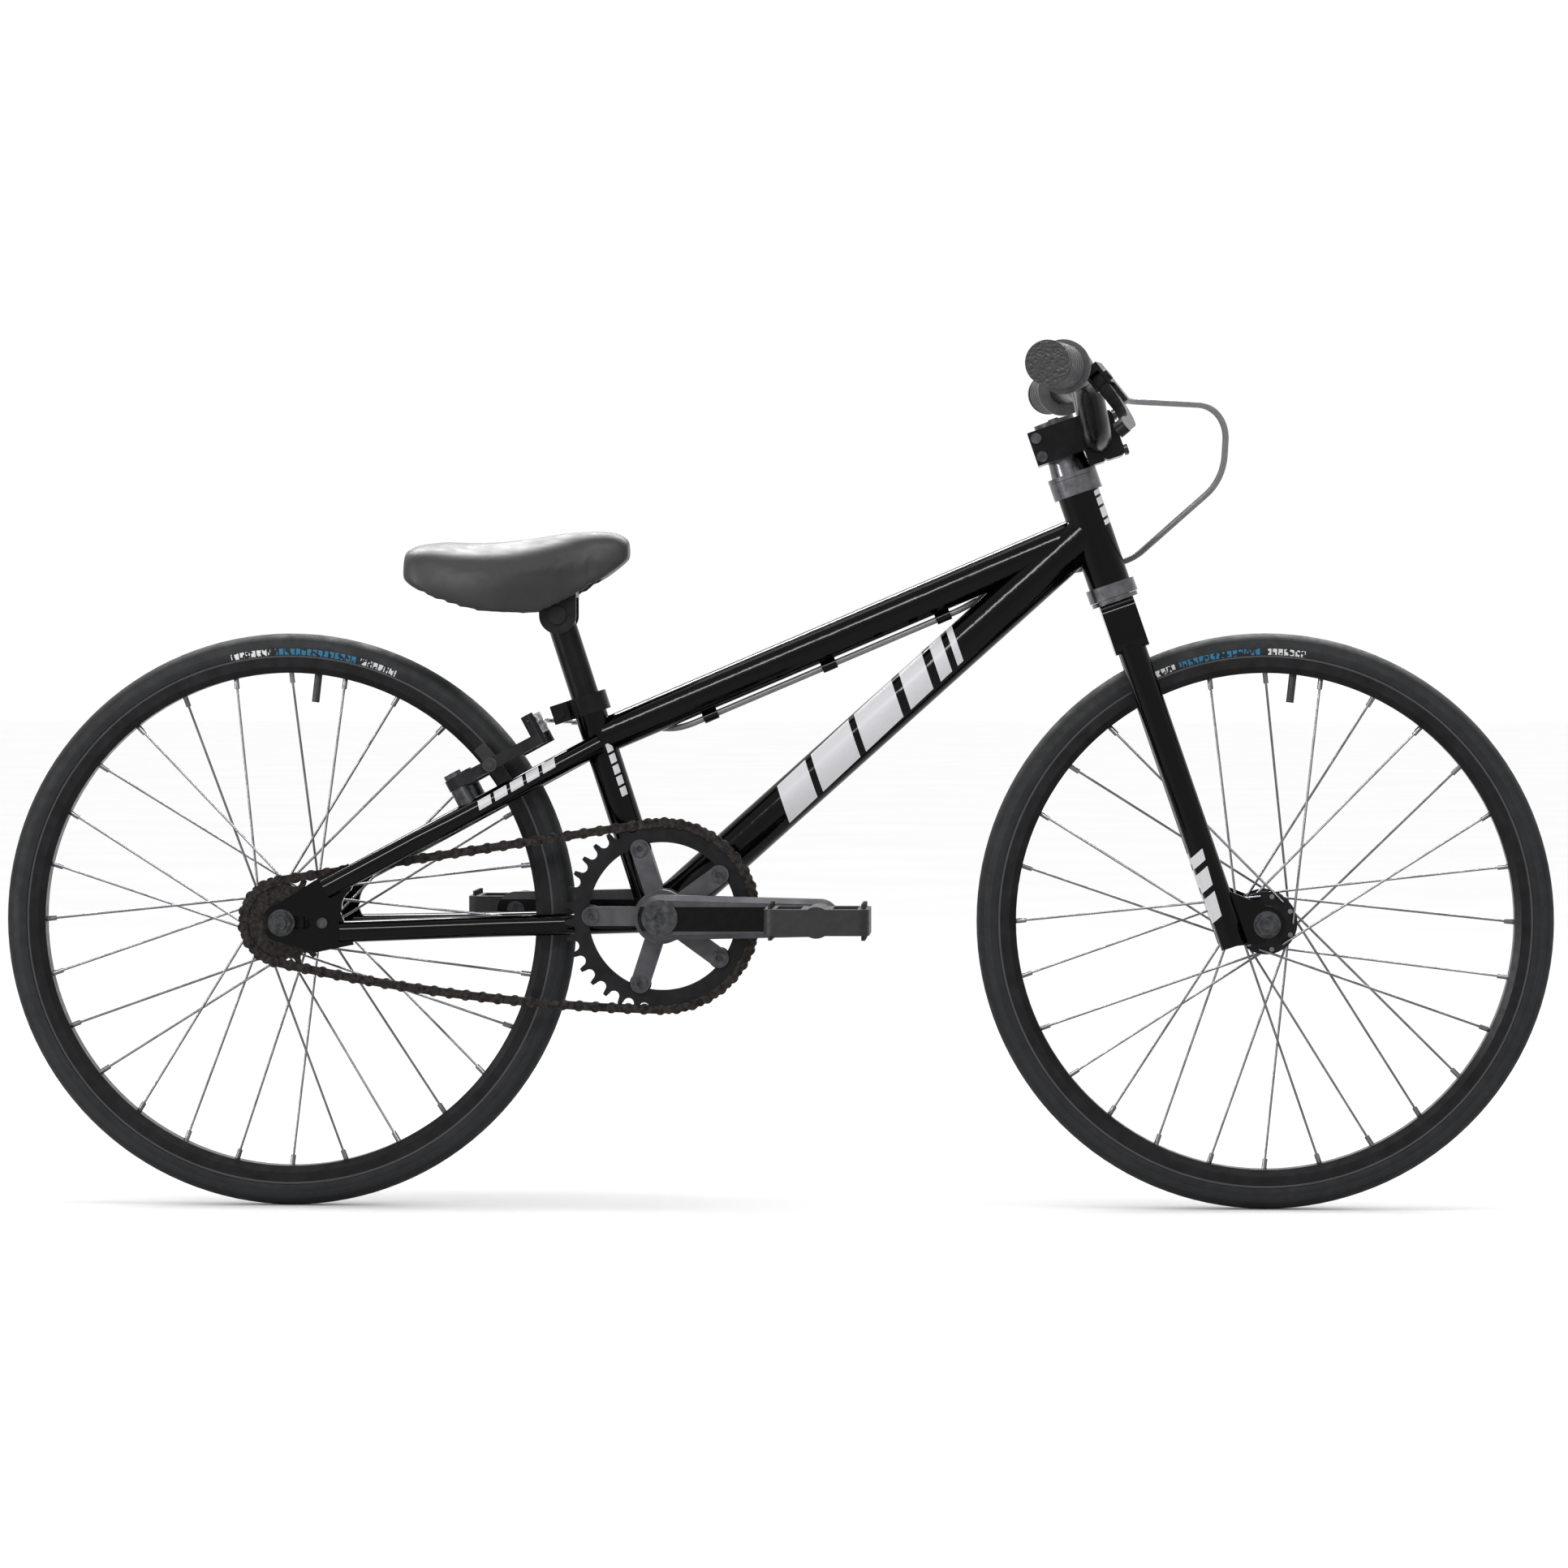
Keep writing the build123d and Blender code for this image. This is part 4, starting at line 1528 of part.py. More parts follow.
# ================================================================ saddle and post
def build_post():
    """Seat post with its pivot head, and the collar that pinches the seat tube on it."""
    low = SEAT_TUBE_LENGTH + POST_EXPOSED - POST_LENGTH
    high = SEAT_TUBE_LENGTH + POST_EXPOSED
    post = solid_round(SEAT_FRAME, SEAT_POST_RADIUS, low, high)
    head_run = Vector(0, 2 * POST_HEAD_HALF, 0)
    head = frame_rod(SEAT_FRAME, SADDLE_PIVOT - head_run * 0.5, head_run, POST_HEAD_RADIUS)
    core = solid_round(SEAT_FRAME, SEAT_POST_RADIUS - 2, low - 1, high - POST_HEAD_RADIUS)
    hole = frame_rod(SEAT_FRAME, SADDLE_PIVOT - head_run, head_run * 2, SADDLE_BOLT_RADIUS + RUNNING_GAP)
    keep("seatpost", post + head - core - hole)

    collar_low = SEAT_TUBE_LENGTH - CLAMP_HEIGHT
    outer = SEAT_TUBE_RADIUS + CLAMP_WALL
    collar = solid_round(SEAT_FRAME, outer, collar_low, SEAT_TUBE_LENGTH)
    lug_x = (-SEAT_TUBE_RADIUS - CLAMP_LUG, -SEAT_TUBE_RADIUS)
    zs = (collar_low, SEAT_TUBE_LENGTH)
    collar = collar + frame_box(SEAT_FRAME, lug_x, (-CLAMP_LUG_HALF, CLAMP_LUG_HALF), zs)
    collar = collar - solid_round(SEAT_FRAME, SEAT_TUBE_RADIUS, collar_low - 1, SEAT_TUBE_LENGTH + 1)
    slit = frame_box(SEAT_FRAME, (lug_x[0] - 1, 0), (-0.6, 0.6), (collar_low - 1, SEAT_TUBE_LENGTH + 1))
    bolt_spot = Vector(lug_x[0] + 6, -CLAMP_LUG_HALF, SEAT_TUBE_LENGTH - CLAMP_HEIGHT / 2)
    bolt = frame_rod(SEAT_FRAME, bolt_spot, Vector(0, 2 * CLAMP_LUG_HALF, 0), STEM_BOLT_RADIUS)
    bolt = bolt + frame_rod(SEAT_FRAME, bolt_spot, Vector(0, -4, 0), STEM_BOLT_HEAD_RADIUS)
    far = bolt_spot + Vector(0, 2 * CLAMP_LUG_HALF, 0)
    bolt = bolt + frame_rod(SEAT_FRAME, far, Vector(0, 3, 0), STEM_BOLT_HEAD_RADIUS)
    keep("seat_clamp", collar - slit - bolt, bolt)


def saddle_section(station, inset, drop):
    """Arched section of the saddle at one station, taken in from the sides and from the top."""
    forward, half, low, high = station
    half = half - inset
    high = high - drop
    tall = high - low
    flank = [
        (half, low),
        (half, low + 0.42 * tall),
        (0.86 * half, low + 0.80 * tall),
        (0.48 * half, low + 0.965 * tall),
    ]
    arch = flank + [(0, high)] + [(-x, z) for x, z in reversed(flank)]
    plane = Plane(
        origin=(SADDLE_ORIGIN.X + forward, 0, SADDLE_ORIGIN.Z), x_dir=(0, 1, 0), z_dir=(1, 0, 0)
    )
    return plane * make_face([Spline(*arch), Line(arch[-1], arch[0])])


def saddle_hull(stations, inset, drop):
    """Skin through the arched sections."""
    return loft([saddle_section(station, inset, drop) for station in stations])


def build_saddle():
    """Padded top with deep skirts, the moulded base inside it, and the bracket on the post."""
    outer = saddle_hull(SADDLE_STATIONS, 0, 0)
    inner_stations = [(x, half, low - 2, high) for x, half, low, high in SADDLE_STATIONS[2:-2]]
    hollow = saddle_hull(inner_stations, SADDLE_PAD, 1.6 * SADDLE_PAD)
    keep("saddle_pad", largest(outer - hollow))

    core = saddle_hull(inner_stations, SADDLE_PAD + FIT_GAP, 1.6 * SADDLE_PAD + FIT_GAP)
    pivot = SEAT_FRAME.from_local_coords(SADDLE_PIVOT)
    plate_low = pivot.Z + POST_HEAD_RADIUS + 4
    plate_high = plate_low + 4
    half = POST_HEAD_HALF + SIDE_GAP + BRACKET_CHEEK
    seat_x = (pivot.X - BRACKET_RADIUS, pivot.X + BRACKET_RADIUS)
    world = Plane.XY
    block_z = (plate_high, pivot.Z + SADDLE_BLOCK_RISE)
    block = frame_box(world, seat_x, (-half, half), block_z)
    floor = pivot.Z + SADDLE_BASE_FLOOR
    upper = frame_box(world, (-WHEELBASE, 0), (-90, 90), (floor, floor + 60))
    keep("saddle_base", largest(core & (upper + block)))

    cheeks = []
    near = POST_HEAD_HALF + SIDE_GAP
    for side in SIDES:
        low, high = sorted((side * near, side * half))
        cheek = disc(pivot, BRACKET_RADIUS, low, high)
        cheeks.append(cheek + frame_box(world, seat_x, (low, high), (pivot.Z, plate_high)))
    plate = frame_box(world, seat_x, (-half, half), (plate_low, plate_high))
    bolt_hole = disc(pivot, SADDLE_BOLT_RADIUS + FIT_GAP, -half - 1, half + 1)
    bracket = cheeks[0] + cheeks[1] + plate - bolt_hole
    bolt = disc(pivot, SADDLE_BOLT_RADIUS, -half, half)
    bolt = bolt + disc(pivot, SADDLE_BOLT_RADIUS + 3, half, half + 3)
    bolt = bolt + disc(pivot, SADDLE_BOLT_RADIUS + 3, -half - 3, -half)
    keep("saddle_bracket", bracket, bolt)


if __name__ == "__main__":
    build_chain()
    ring_bolts = build_chainring()
    build_cog()
    build_cranks(ring_bolts)
    build_wheels()
    build_frame()
    build_axles()
    build_fork()
    build_headset()
    build_stem()
    build_bar()
    build_lever()
    build_bosses()
    build_brake()
    build_housing()
    build_post()
    build_saddle()
    os.makedirs("parts", exist_ok=True)
    for name, shape in parts.items():
        export_step(shape, f"parts/{name}.step")
    print(len(parts), "nodes; crank axis", round(CRANK_X - REAR_X, 2), "mm ahead of the rear axle")
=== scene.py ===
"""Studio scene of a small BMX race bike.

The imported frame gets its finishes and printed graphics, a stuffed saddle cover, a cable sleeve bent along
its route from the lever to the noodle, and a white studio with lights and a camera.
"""

import json
import logging
import math
from dataclasses import dataclass, field
from enum import Enum

import bpy
import numpy as np
from mathutils import Matrix, Vector


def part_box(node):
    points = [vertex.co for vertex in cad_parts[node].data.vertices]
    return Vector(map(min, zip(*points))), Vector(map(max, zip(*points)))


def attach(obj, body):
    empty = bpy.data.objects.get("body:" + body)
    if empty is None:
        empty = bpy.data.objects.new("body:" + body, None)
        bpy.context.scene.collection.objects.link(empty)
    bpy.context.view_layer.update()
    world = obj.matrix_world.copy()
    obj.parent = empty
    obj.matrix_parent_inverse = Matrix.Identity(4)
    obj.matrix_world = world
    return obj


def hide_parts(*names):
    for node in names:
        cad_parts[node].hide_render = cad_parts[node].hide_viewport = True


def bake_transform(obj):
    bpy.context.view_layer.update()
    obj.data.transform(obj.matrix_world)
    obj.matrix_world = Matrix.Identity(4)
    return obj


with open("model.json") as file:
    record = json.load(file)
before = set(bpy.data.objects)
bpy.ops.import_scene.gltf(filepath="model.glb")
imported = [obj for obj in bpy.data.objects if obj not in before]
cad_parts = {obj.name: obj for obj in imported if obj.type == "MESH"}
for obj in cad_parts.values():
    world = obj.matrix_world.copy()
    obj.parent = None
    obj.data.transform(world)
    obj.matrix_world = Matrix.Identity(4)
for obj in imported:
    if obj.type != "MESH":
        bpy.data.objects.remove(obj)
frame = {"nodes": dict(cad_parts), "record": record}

MM = 0.001
AHEAD = Vector((1.0, 0.0, 0.0))
ASIDE = Vector((0.0, 1.0, 0.0))
ABOVE = Vector((0.0, 0.0, 1.0))
LOG = logging.getLogger("bmx")
Socket = bpy.types.NodeSocket
RGBA = tuple[float, float, float, float]
Point = tuple[float, float, float]


def linear(code: str) -> RGBA:
    """Turns an sRGB colour into the linear one that shading uses.

    Args:
        code: Six hex digits after a hash, such as "#2e2f31".

    Returns:
        Red, green, blue and an alpha of one.
    """
    parts = [int(code[i : i + 2], 16) / 255 for i in (1, 3, 5)]
    red, green, blue = (p / 12.92 if p <= 0.04045 else ((p + 0.055) / 1.055) ** 2.4 for p in parts)
    return red, green, blue, 1.0


class Lean(Enum):
    """Which way a tube runs, seen from the drive side: its top ahead of its foot, or behind it."""

    RISING = 1
    FALLING = -1


@dataclass(frozen=True)
class Finish:
    """One real surface: its two tones, how rough it is and how its skin undulates. Sizes are in mm."""

    name: str
    tone: str
    fleck: str
    fleck_size: float
    roughness: tuple[float, float]
    metallic: float = 0.0
    specular: float = 0.5
    skin_size: float = 1.0
    skin_depth: float = 0.01
    streaks: Point = (1.0, 1.0, 1.0)


@dataclass(frozen=True)
class Graphic:
    """A row of slanted blocks printed across a tube, each from a start to an end in mm from the tube's middle."""

    node: str
    lean: Lean
    blocks: tuple[tuple[float, float], ...]
    offset: float
    half_height: float
    slant: float
    angle: float | None = None


# Sprayed enamel under clear lacquer: deep black, with the faint waviness of a thick wet coat.
ENAMEL = Finish(
    name="gloss_black_enamel",
    tone="#010101",
    fleck="#030304",
    fleck_size=60,
    roughness=(0.10, 0.14),
    specular=0.12,
    skin_size=14,
    skin_depth=0.001,
)
# Anodised aluminium: satin black with a fine, even tooth and slightly paler rubbed patches.
BLACK_ANODISED = Finish(
    name="satin_black_anodised_aluminium",
    tone="#161617",
    fleck="#202022",
    fleck_size=14,
    roughness=(0.30, 0.42),
    metallic=0.45,
    specular=0.12,
    skin_size=0.6,
    skin_depth=0.006,
)
# Polished black anodising on stem, bars and post: darker and slicker, edges catch the light.
DEEP_ANODISED = Finish(
    name="polished_black_anodised_aluminium",
    tone="#0c0c0e",
    fleck="#161618",
    fleck_size=18,
    roughness=(0.20, 0.30),
    metallic=0.45,
    specular=0.16,
    skin_size=0.9,
    skin_depth=0.004,
)
# Polished grey aluminium of the headset: bright rolls of light between dark steps.
POLISHED_GREY = Finish(
    name="polished_grey_aluminium",
    tone="#6a6a6d",
    fleck="#4c4c4f",
    fleck_size=9,
    roughness=(0.16, 0.26),
    metallic=1.0,
    skin_size=0.8,
    skin_depth=0.003,
)
# Forged aluminium left grey: a soft metallic sheen that darkens in broad clouds.
GREY_ALLOY = Finish(
    name="bead_blasted_grey_aluminium",
    tone="#464649",
    fleck="#38383b",
    fleck_size=16,
    roughness=(0.34, 0.46),
    metallic=0.85,
    skin_size=0.5,
    skin_depth=0.008,
)
# Bright turned aluminium: silver with fine marks that run round the part.
SILVER_ALLOY = Finish(
    name="bright_aluminium",
    tone="#b9b9bb",
    fleck="#9b9b9e",
    fleck_size=8,
    roughness=(0.18, 0.30),
    metallic=1.0,
    skin_size=0.4,
    skin_depth=0.004,
    streaks=(1.0, 4.0, 1.0),
)
# Zinc plated steel of nuts, axles and bolts: blue-grey with darker handling marks.
ZINC_STEEL = Finish(
    name="zinc_plated_steel",
    tone="#47484a",
    fleck="#2d2d2f",
    fleck_size=5,
    roughness=(0.26, 0.42),
    metallic=1.0,
    skin_size=0.5,
    skin_depth=0.006,
)
# Oiled chain plates: brown-black steel, oil pooling darker between the rollers.
CHAIN_STEEL = Finish(
    name="oiled_chain_steel",
    tone="#322f2d",
    fleck="#171615",
    fleck_size=3.5,
    roughness=(0.28, 0.50),
    metallic=1.0,
    skin_size=1.5,
    skin_depth=0.01,
)
# Drawn spoke wire: mid grey, a little darker in patches.
SPOKE_STEEL = Finish(
    name="drawn_spoke_wire",
    tone="#6f6f72",
    fleck="#565659",
    fleck_size=12,
    roughness=(0.24, 0.36),
    metallic=1.0,
    skin_size=0.8,
    skin_depth=0.002,
)
# Moulded tyre rubber: charcoal with a dusty bloom and a fine matt tooth.
TYRE_RUBBER = Finish(
    name="moulded_tyre_rubber",
    tone="#17181a",
    fleck="#1f2022",
    fleck_size=22,
    roughness=(0.62, 0.80),
    specular=0.16,
    skin_size=0.7,
    skin_depth=0.02,
)
# Butyl inner tube and its valve: a duller, smoother black than the tyre.
TUBE_RUBBER = Finish(
    name="butyl_rubber",
    tone="#161617",
    fleck="#1f1f20",
    fleck_size=10,
    roughness=(0.5, 0.65),
    specular=0.35,
    skin_size=0.8,
    skin_depth=0.01,
)
# Brake pad compound: flat black with fine grit.
PAD_RUBBER = Finish(
    name="brake_pad_rubber",
    tone="#1c1c1d",
    fleck="#2b2b2c",
    fleck_size=1.5,
    roughness=(0.7, 0.85),
    specular=0.3,
    skin_size=0.4,
    skin_depth=0.02,
)
# Moulded grip rubber: soft grey-black, skin slightly polished where hands go.
GRIP_RUBBER = Finish(
    name="thermoplastic_grip_rubber",
    tone="#48484a",
    fleck="#38383a",
    fleck_size=7,
    roughness=(0.42, 0.62),
    specular=0.3,
    skin_size=1.2,
    skin_depth=0.05,
)
# Glass-filled resin pedals: near black, mottled flow marks from the mould.
PEDAL_RESIN = Finish(
    name="glass_filled_pedal_resin",
    tone="#141415",
    fleck="#1f1f21",
    fleck_size=6,
    roughness=(0.42, 0.60),
    specular=0.25,
    skin_size=0.8,
    skin_depth=0.02,
)
# Extruded cable jacket: smooth grey plastic with a soft gloss.
CABLE_JACKET = Finish(
    name="grey_cable_jacket",
    tone="#6a6a6c",
    fleck="#5c5c5f",
    fleck_size=9,
    roughness=(0.32, 0.44),
    skin_size=0.9,
    skin_depth=0.01,
)
# Saddle cover: thermo-formed vinyl, fine pebbled grain with a soft sheen along the flank.
SADDLE_VINYL = Finish(
    name="thermoformed_saddle_vinyl",
    tone="#252527",
    fleck="#1e1e20",
    fleck_size=30,
    roughness=(0.46, 0.58),
    specular=0.25,
    skin_size=1.1,
    skin_depth=0.02,
)
# Saddle shell resin: coarse moulded black.
SADDLE_RESIN = Finish(
    name="moulded_saddle_resin",
    tone="#161617",
    fleck="#222223",
    fleck_size=9,
    roughness=(0.5, 0.66),
    specular=0.4,
    skin_size=0.7,
    skin_depth=0.03,
)
# Seamless studio paper: flat white, no gloss.
STUDIO_PAPER = Finish(
    name="seamless_white_paper",
    tone="#fafafa",
    fleck="#f6f6f6",
    fleck_size=400,
    roughness=(0.9, 0.95),
    specular=0.1,
    skin_size=2,
    skin_depth=0.0,
)

FINISH_OF_SLOT = {
    "frame_paint": ENAMEL,
    "black_alloy": BLACK_ANODISED,
    "grey_alloy": GREY_ALLOY,
    "silver_alloy": SILVER_ALLOY,
    "steel": ZINC_STEEL,
    "chain_steel": CHAIN_STEEL,
    "spoke_steel": SPOKE_STEEL,
    "tyre_rubber": TYRE_RUBBER,
    "tube_rubber": TUBE_RUBBER,
    "pad_rubber": PAD_RUBBER,
    "grip_rubber": GRIP_RUBBER,
    "pedal_resin": PEDAL_RESIN,
    "cable_jacket": CABLE_JACKET,
    "saddle_vinyl": SADDLE_VINYL,
    "saddle_resin": SADDLE_RESIN,
}

FINISH_OF_NODE = {
    "stem_body": DEEP_ANODISED,
    "stem_faceplate": DEEP_ANODISED,
    "seatpost": DEEP_ANODISED,
    "seat_clamp": DEEP_ANODISED,
    "handlebar": DEEP_ANODISED,
    "headset_cups": POLISHED_GREY,
    "headset_cover": POLISHED_GREY,
    "freewheel_cog": CHAIN_STEEL,
    "freewheel_core": CHAIN_STEEL,
    "crank_arm_right": GREY_ALLOY,
    "crank_arm_left": GREY_ALLOY,
}

# Blocks, offsets and heights are in mm, a slant is mm along the tube per mm across it, an angle is in degrees.
DOWN_TUBE_BLOCKS = ((-96, -66), (-60, -20), (-14, 26), (34, 58), (66, 78), (84, 90))
SEATSTAY_BLOCKS = ((16, 27), (30, 41), (44, 55), (58, 69), (72, 83))
SEAT_TUBE_BLOCKS = ((5, 12), (14, 21), (23, 30), (32, 39), (41, 48))
FORK_BLOCKS = ((-112, -92), (-87, -72), (-67, -58))
HEAD_TUBE_BLOCKS = ((8, 12), (14, 22), (24, 30), (32, 36))
GRAPHICS = (
    Graphic("down_tube", Lean.RISING, DOWN_TUBE_BLOCKS, offset=0, half_height=14.0, slant=-0.45),
    Graphic("seatstays", Lean.RISING, SEATSTAY_BLOCKS, offset=0.5, half_height=3.6, slant=-0.3),
    Graphic("seat_tube", Lean.FALLING, SEAT_TUBE_BLOCKS, offset=-9, half_height=2.4, slant=0.2, angle=72.0),
    Graphic("fork_legs", Lean.FALLING, FORK_BLOCKS, offset=16.5, half_height=6.5, slant=0.5, angle=73.9),
    Graphic("head_tube", Lean.FALLING, HEAD_TUBE_BLOCKS, offset=-14, half_height=2.2, slant=0.3, angle=71.0),
)


class Shader:
    """One material's nodes, with short ways to add and link them. Patterns are fixed to the shared frame."""

    def __init__(self, finish: Finish, suffix: str = "") -> None:
        """Starts a material with a finish: clouded colour, clouded roughness and a fine skin.

        Args:
            finish: The real surface to follow.
            suffix: What sets this material's name apart, where a node has one to itself.
        """
        self.material = bpy.data.materials.new(finish.name + suffix)
        self.material.use_nodes = True
        self.tree = self.material.node_tree
        self.tree.nodes.clear()
        settings = {"Specular IOR Level": finish.specular, "Metallic": finish.metallic}
        self.surface = self.add("ShaderNodeBsdfPrincipled", settings)
        self.add("ShaderNodeOutputMaterial", {"Surface": self.surface.outputs["BSDF"]})
        self.place = self.add("ShaderNodeTexCoord").outputs["Object"]
        clouds = self.spread(self.noise(finish.fleck_size, 4.0, finish.streaks), 0.0, 1.0)
        self.colour = self.mix(clouds, linear(finish.tone), linear(finish.fleck))
        rubbed = self.noise(finish.fleck_size * 0.45, 2.0, finish.streaks)
        self.rough = self.spread(rubbed, *finish.roughness)
        self.height = self.noise(finish.skin_size, 2.0, finish.streaks)
        self.depth = finish.skin_depth

    def add(self, kind: str, inputs: dict | None = None, **settings: object) -> bpy.types.Node:
        """Adds a node, sets its settings, and sets or links its inputs.

        Args:
            kind: The node's type name.
            inputs: Values or sockets by input name or number.
            **settings: Properties of the node itself.

        Returns:
            The new node.
        """
        node = self.tree.nodes.new(kind)
        for name, value in settings.items():
            setattr(node, name, value)
        for key, value in (inputs or {}).items():
            if isinstance(value, Socket):
                self.tree.links.new(value, node.inputs[key])
            else:
                node.inputs[key].default_value = value
        return node

    def reckon(self, operation: str, *values: object) -> Socket:
        """One arithmetic step on numbers or sockets."""
        return self.add("ShaderNodeMath", dict(enumerate(values)), operation=operation).outputs[0]

    def noise(self, size: float, detail: float = 3.0, streaks: Point = (1.0, 1.0, 1.0)) -> Socket:
        """Soft cloudy noise.

        Args:
            size: The size of one cloud in mm.
            detail: How many finer layers lie on top.
            streaks: How much the pattern is squeezed along X, Y and Z.

        Returns:
            A value from 0 to 1.
        """
        squeezed = {0: self.place, 1: streaks}
        where = self.add("ShaderNodeVectorMath", squeezed, operation="MULTIPLY").outputs[0]
        inputs = {"Vector": where, "Scale": 1 / (size * MM), "Detail": detail}
        return self.add("ShaderNodeTexNoise", inputs).outputs["Fac"]

    def cells(self, size: float) -> Socket:
        """Distance from the middle of the nearest of many cells, each about size mm wide."""
        inputs = {"Vector": self.place, "Scale": 1 / (size * MM)}
        return self.add("ShaderNodeTexVoronoi", inputs).outputs["Distance"]

    def spread(self, value: Socket, low: float, high: float, start: float = 0.3, end: float = 0.7) -> Socket:
        """Maps one span of values onto another, held at both ends.

        Args:
            value: What to map.
            low: The result at start.
            high: The result at end.
            start: Where the first span starts.
            end: Where it ends.

        Returns:
            A value from low to high.
        """
        inputs = {"Value": value, "From Min": start, "From Max": end, "To Min": low, "To Max": high}
        return self.add("ShaderNodeMapRange", inputs, clamp=True).outputs["Result"]

    def mix(self, share: object, first: object, second: object) -> Socket:
        """Mixes two colours by a share from 0 to 1."""
        inputs = {0: share, 6: first, 7: second}
        return self.add("ShaderNodeMix", inputs, data_type="RGBA").outputs[2]

    def along(self, origin: Vector, run: Vector) -> Socket:
        """Measures how far a point lies from an origin, along one direction.

        Args:
            origin: Where the measure is zero, in metres.
            run: The direction, of length one unless the measure is to be shrunk.

        Returns:
            The distance in metres, negative behind the origin.
        """
        gap = {0: self.place, 1: tuple(origin)}
        offset = self.add("ShaderNodeVectorMath", gap, operation="SUBTRACT").outputs[0]
        pair = {0: offset, 1: tuple(run)}
        return self.add("ShaderNodeVectorMath", pair, operation="DOT_PRODUCT").outputs["Value"]

    def waves(self, distance: Socket, pitch: float) -> Socket:
        """Waves from -1 to 1 over a distance in metres: the sine of a full turn for each pitch in mm."""
        return self.reckon("SINE", self.reckon("MULTIPLY", distance, 2 * math.pi / (pitch * MM)))

    def within(self, value: object, low: float, high: float) -> Socket:
        """One where a value lies between low and high, else zero."""
        return self.reckon("COMPARE", value, (low + high) / 2, (high - low) / 2)

    def polar(self, node: str) -> tuple[Socket, Socket]:
        """Measures round a wheel's axle, which runs through the middle of the node's box.

        Args:
            node: The name of a node that runs right round the wheel.

        Returns:
            Distance from the axle in metres, and the turn from the wheel's top in degrees.
        """
        low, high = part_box(node)
        middle = (low + high) / 2
        ahead = self.along(middle, AHEAD)
        above = self.along(middle, ABOVE)
        square = self.reckon("MULTIPLY_ADD", ahead, ahead, self.reckon("MULTIPLY", above, above))
        turn = self.reckon("MULTIPLY", self.reckon("ARCTAN2", ahead, above), 180 / math.pi)
        return self.reckon("SQRT", square), turn

    def close(self) -> bpy.types.Material:
        """Links what was gathered to the surface.

        Returns:
            The finished material.
        """
        inputs = {"Height": self.height, "Distance": self.depth * MM, "Strength": 1.0}
        skin = self.add("ShaderNodeBump", inputs).outputs["Normal"]
        wanted = {"Base Color": self.colour, "Roughness": self.rough, "Normal": skin}
        for name, socket in wanted.items():
            self.tree.links.new(socket, self.surface.inputs[name])
        return self.material


@dataclass
class Tubes:
    """Frame and fork tubes: slanted silver blocks printed on the enamel, the ink darkened towards one edge of the
    print as painted shade. Roughness is that of dry ink.
    """

    ink: str = "#cfcfd2"
    # The darker ink and its share paint shade across the print's height.
    painted_shade_ink: str = "#8e8e93"
    painted_shade_share: float = 0.75
    ink_roughness: float = 0.28
    nodes: tuple[str, ...] = tuple(graphic.node for graphic in GRAPHICS)

    def material(self, name: str, finish: Finish) -> bpy.types.Material:
        """Makes a printed tube's material: a block is a band along the tube, leaned by its height across it.

        Args:
            name: The tube's node.
            finish: What the tube is painted with.

        Returns:
            The finished material.
        """
        graphic = GRAPHICS[self.nodes.index(name)]
        shader = Shader(finish, "_with_print_" + name)
        low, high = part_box(name)
        size = high - low
        run = Vector((size.x * graphic.lean.value, 0.0, size.z)).normalized()
        if graphic.angle is not None:
            steep = math.radians(graphic.angle)
            run = Vector((graphic.lean.value * math.cos(steep), 0.0, math.sin(steep)))
        over = Vector((-run.z, 0.0, run.x))
        middle = (low + high) / 2
        half = graphic.half_height * MM
        along = shader.along(middle, run)
        across = shader.along(middle + over * graphic.offset * MM, over)
        leaned = shader.reckon("MULTIPLY_ADD", across, graphic.slant, along)
        mask: object = 0.0
        for start, end in graphic.blocks:
            mask = shader.reckon("MAXIMUM", mask, shader.within(leaned, start * MM, end * MM))
        mask = shader.reckon("MULTIPLY", mask, shader.within(across, -half, half))
        # Painted shade: across the print's height the ink goes from its pale tone at one edge to a quarter of the
        # way towards the darker ink at the other.
        painted_shading = shader.spread(across, self.painted_shade_share, 1.0, -half, half)
        ink = shader.mix(painted_shading, linear(self.painted_shade_ink), linear(self.ink))
        shader.colour = shader.mix(mask, shader.colour, ink)
        dried = shader.reckon("MULTIPLY", mask, self.ink_roughness)
        shader.rough = shader.reckon("MAXIMUM", shader.rough, dried)
        return shader.close()


@dataclass(frozen=True)
class Label:
    """A printed stretch of a tyre's wall, from one turn to another, in degrees from the wheel's top."""

    start: float
    end: float
    tone: str


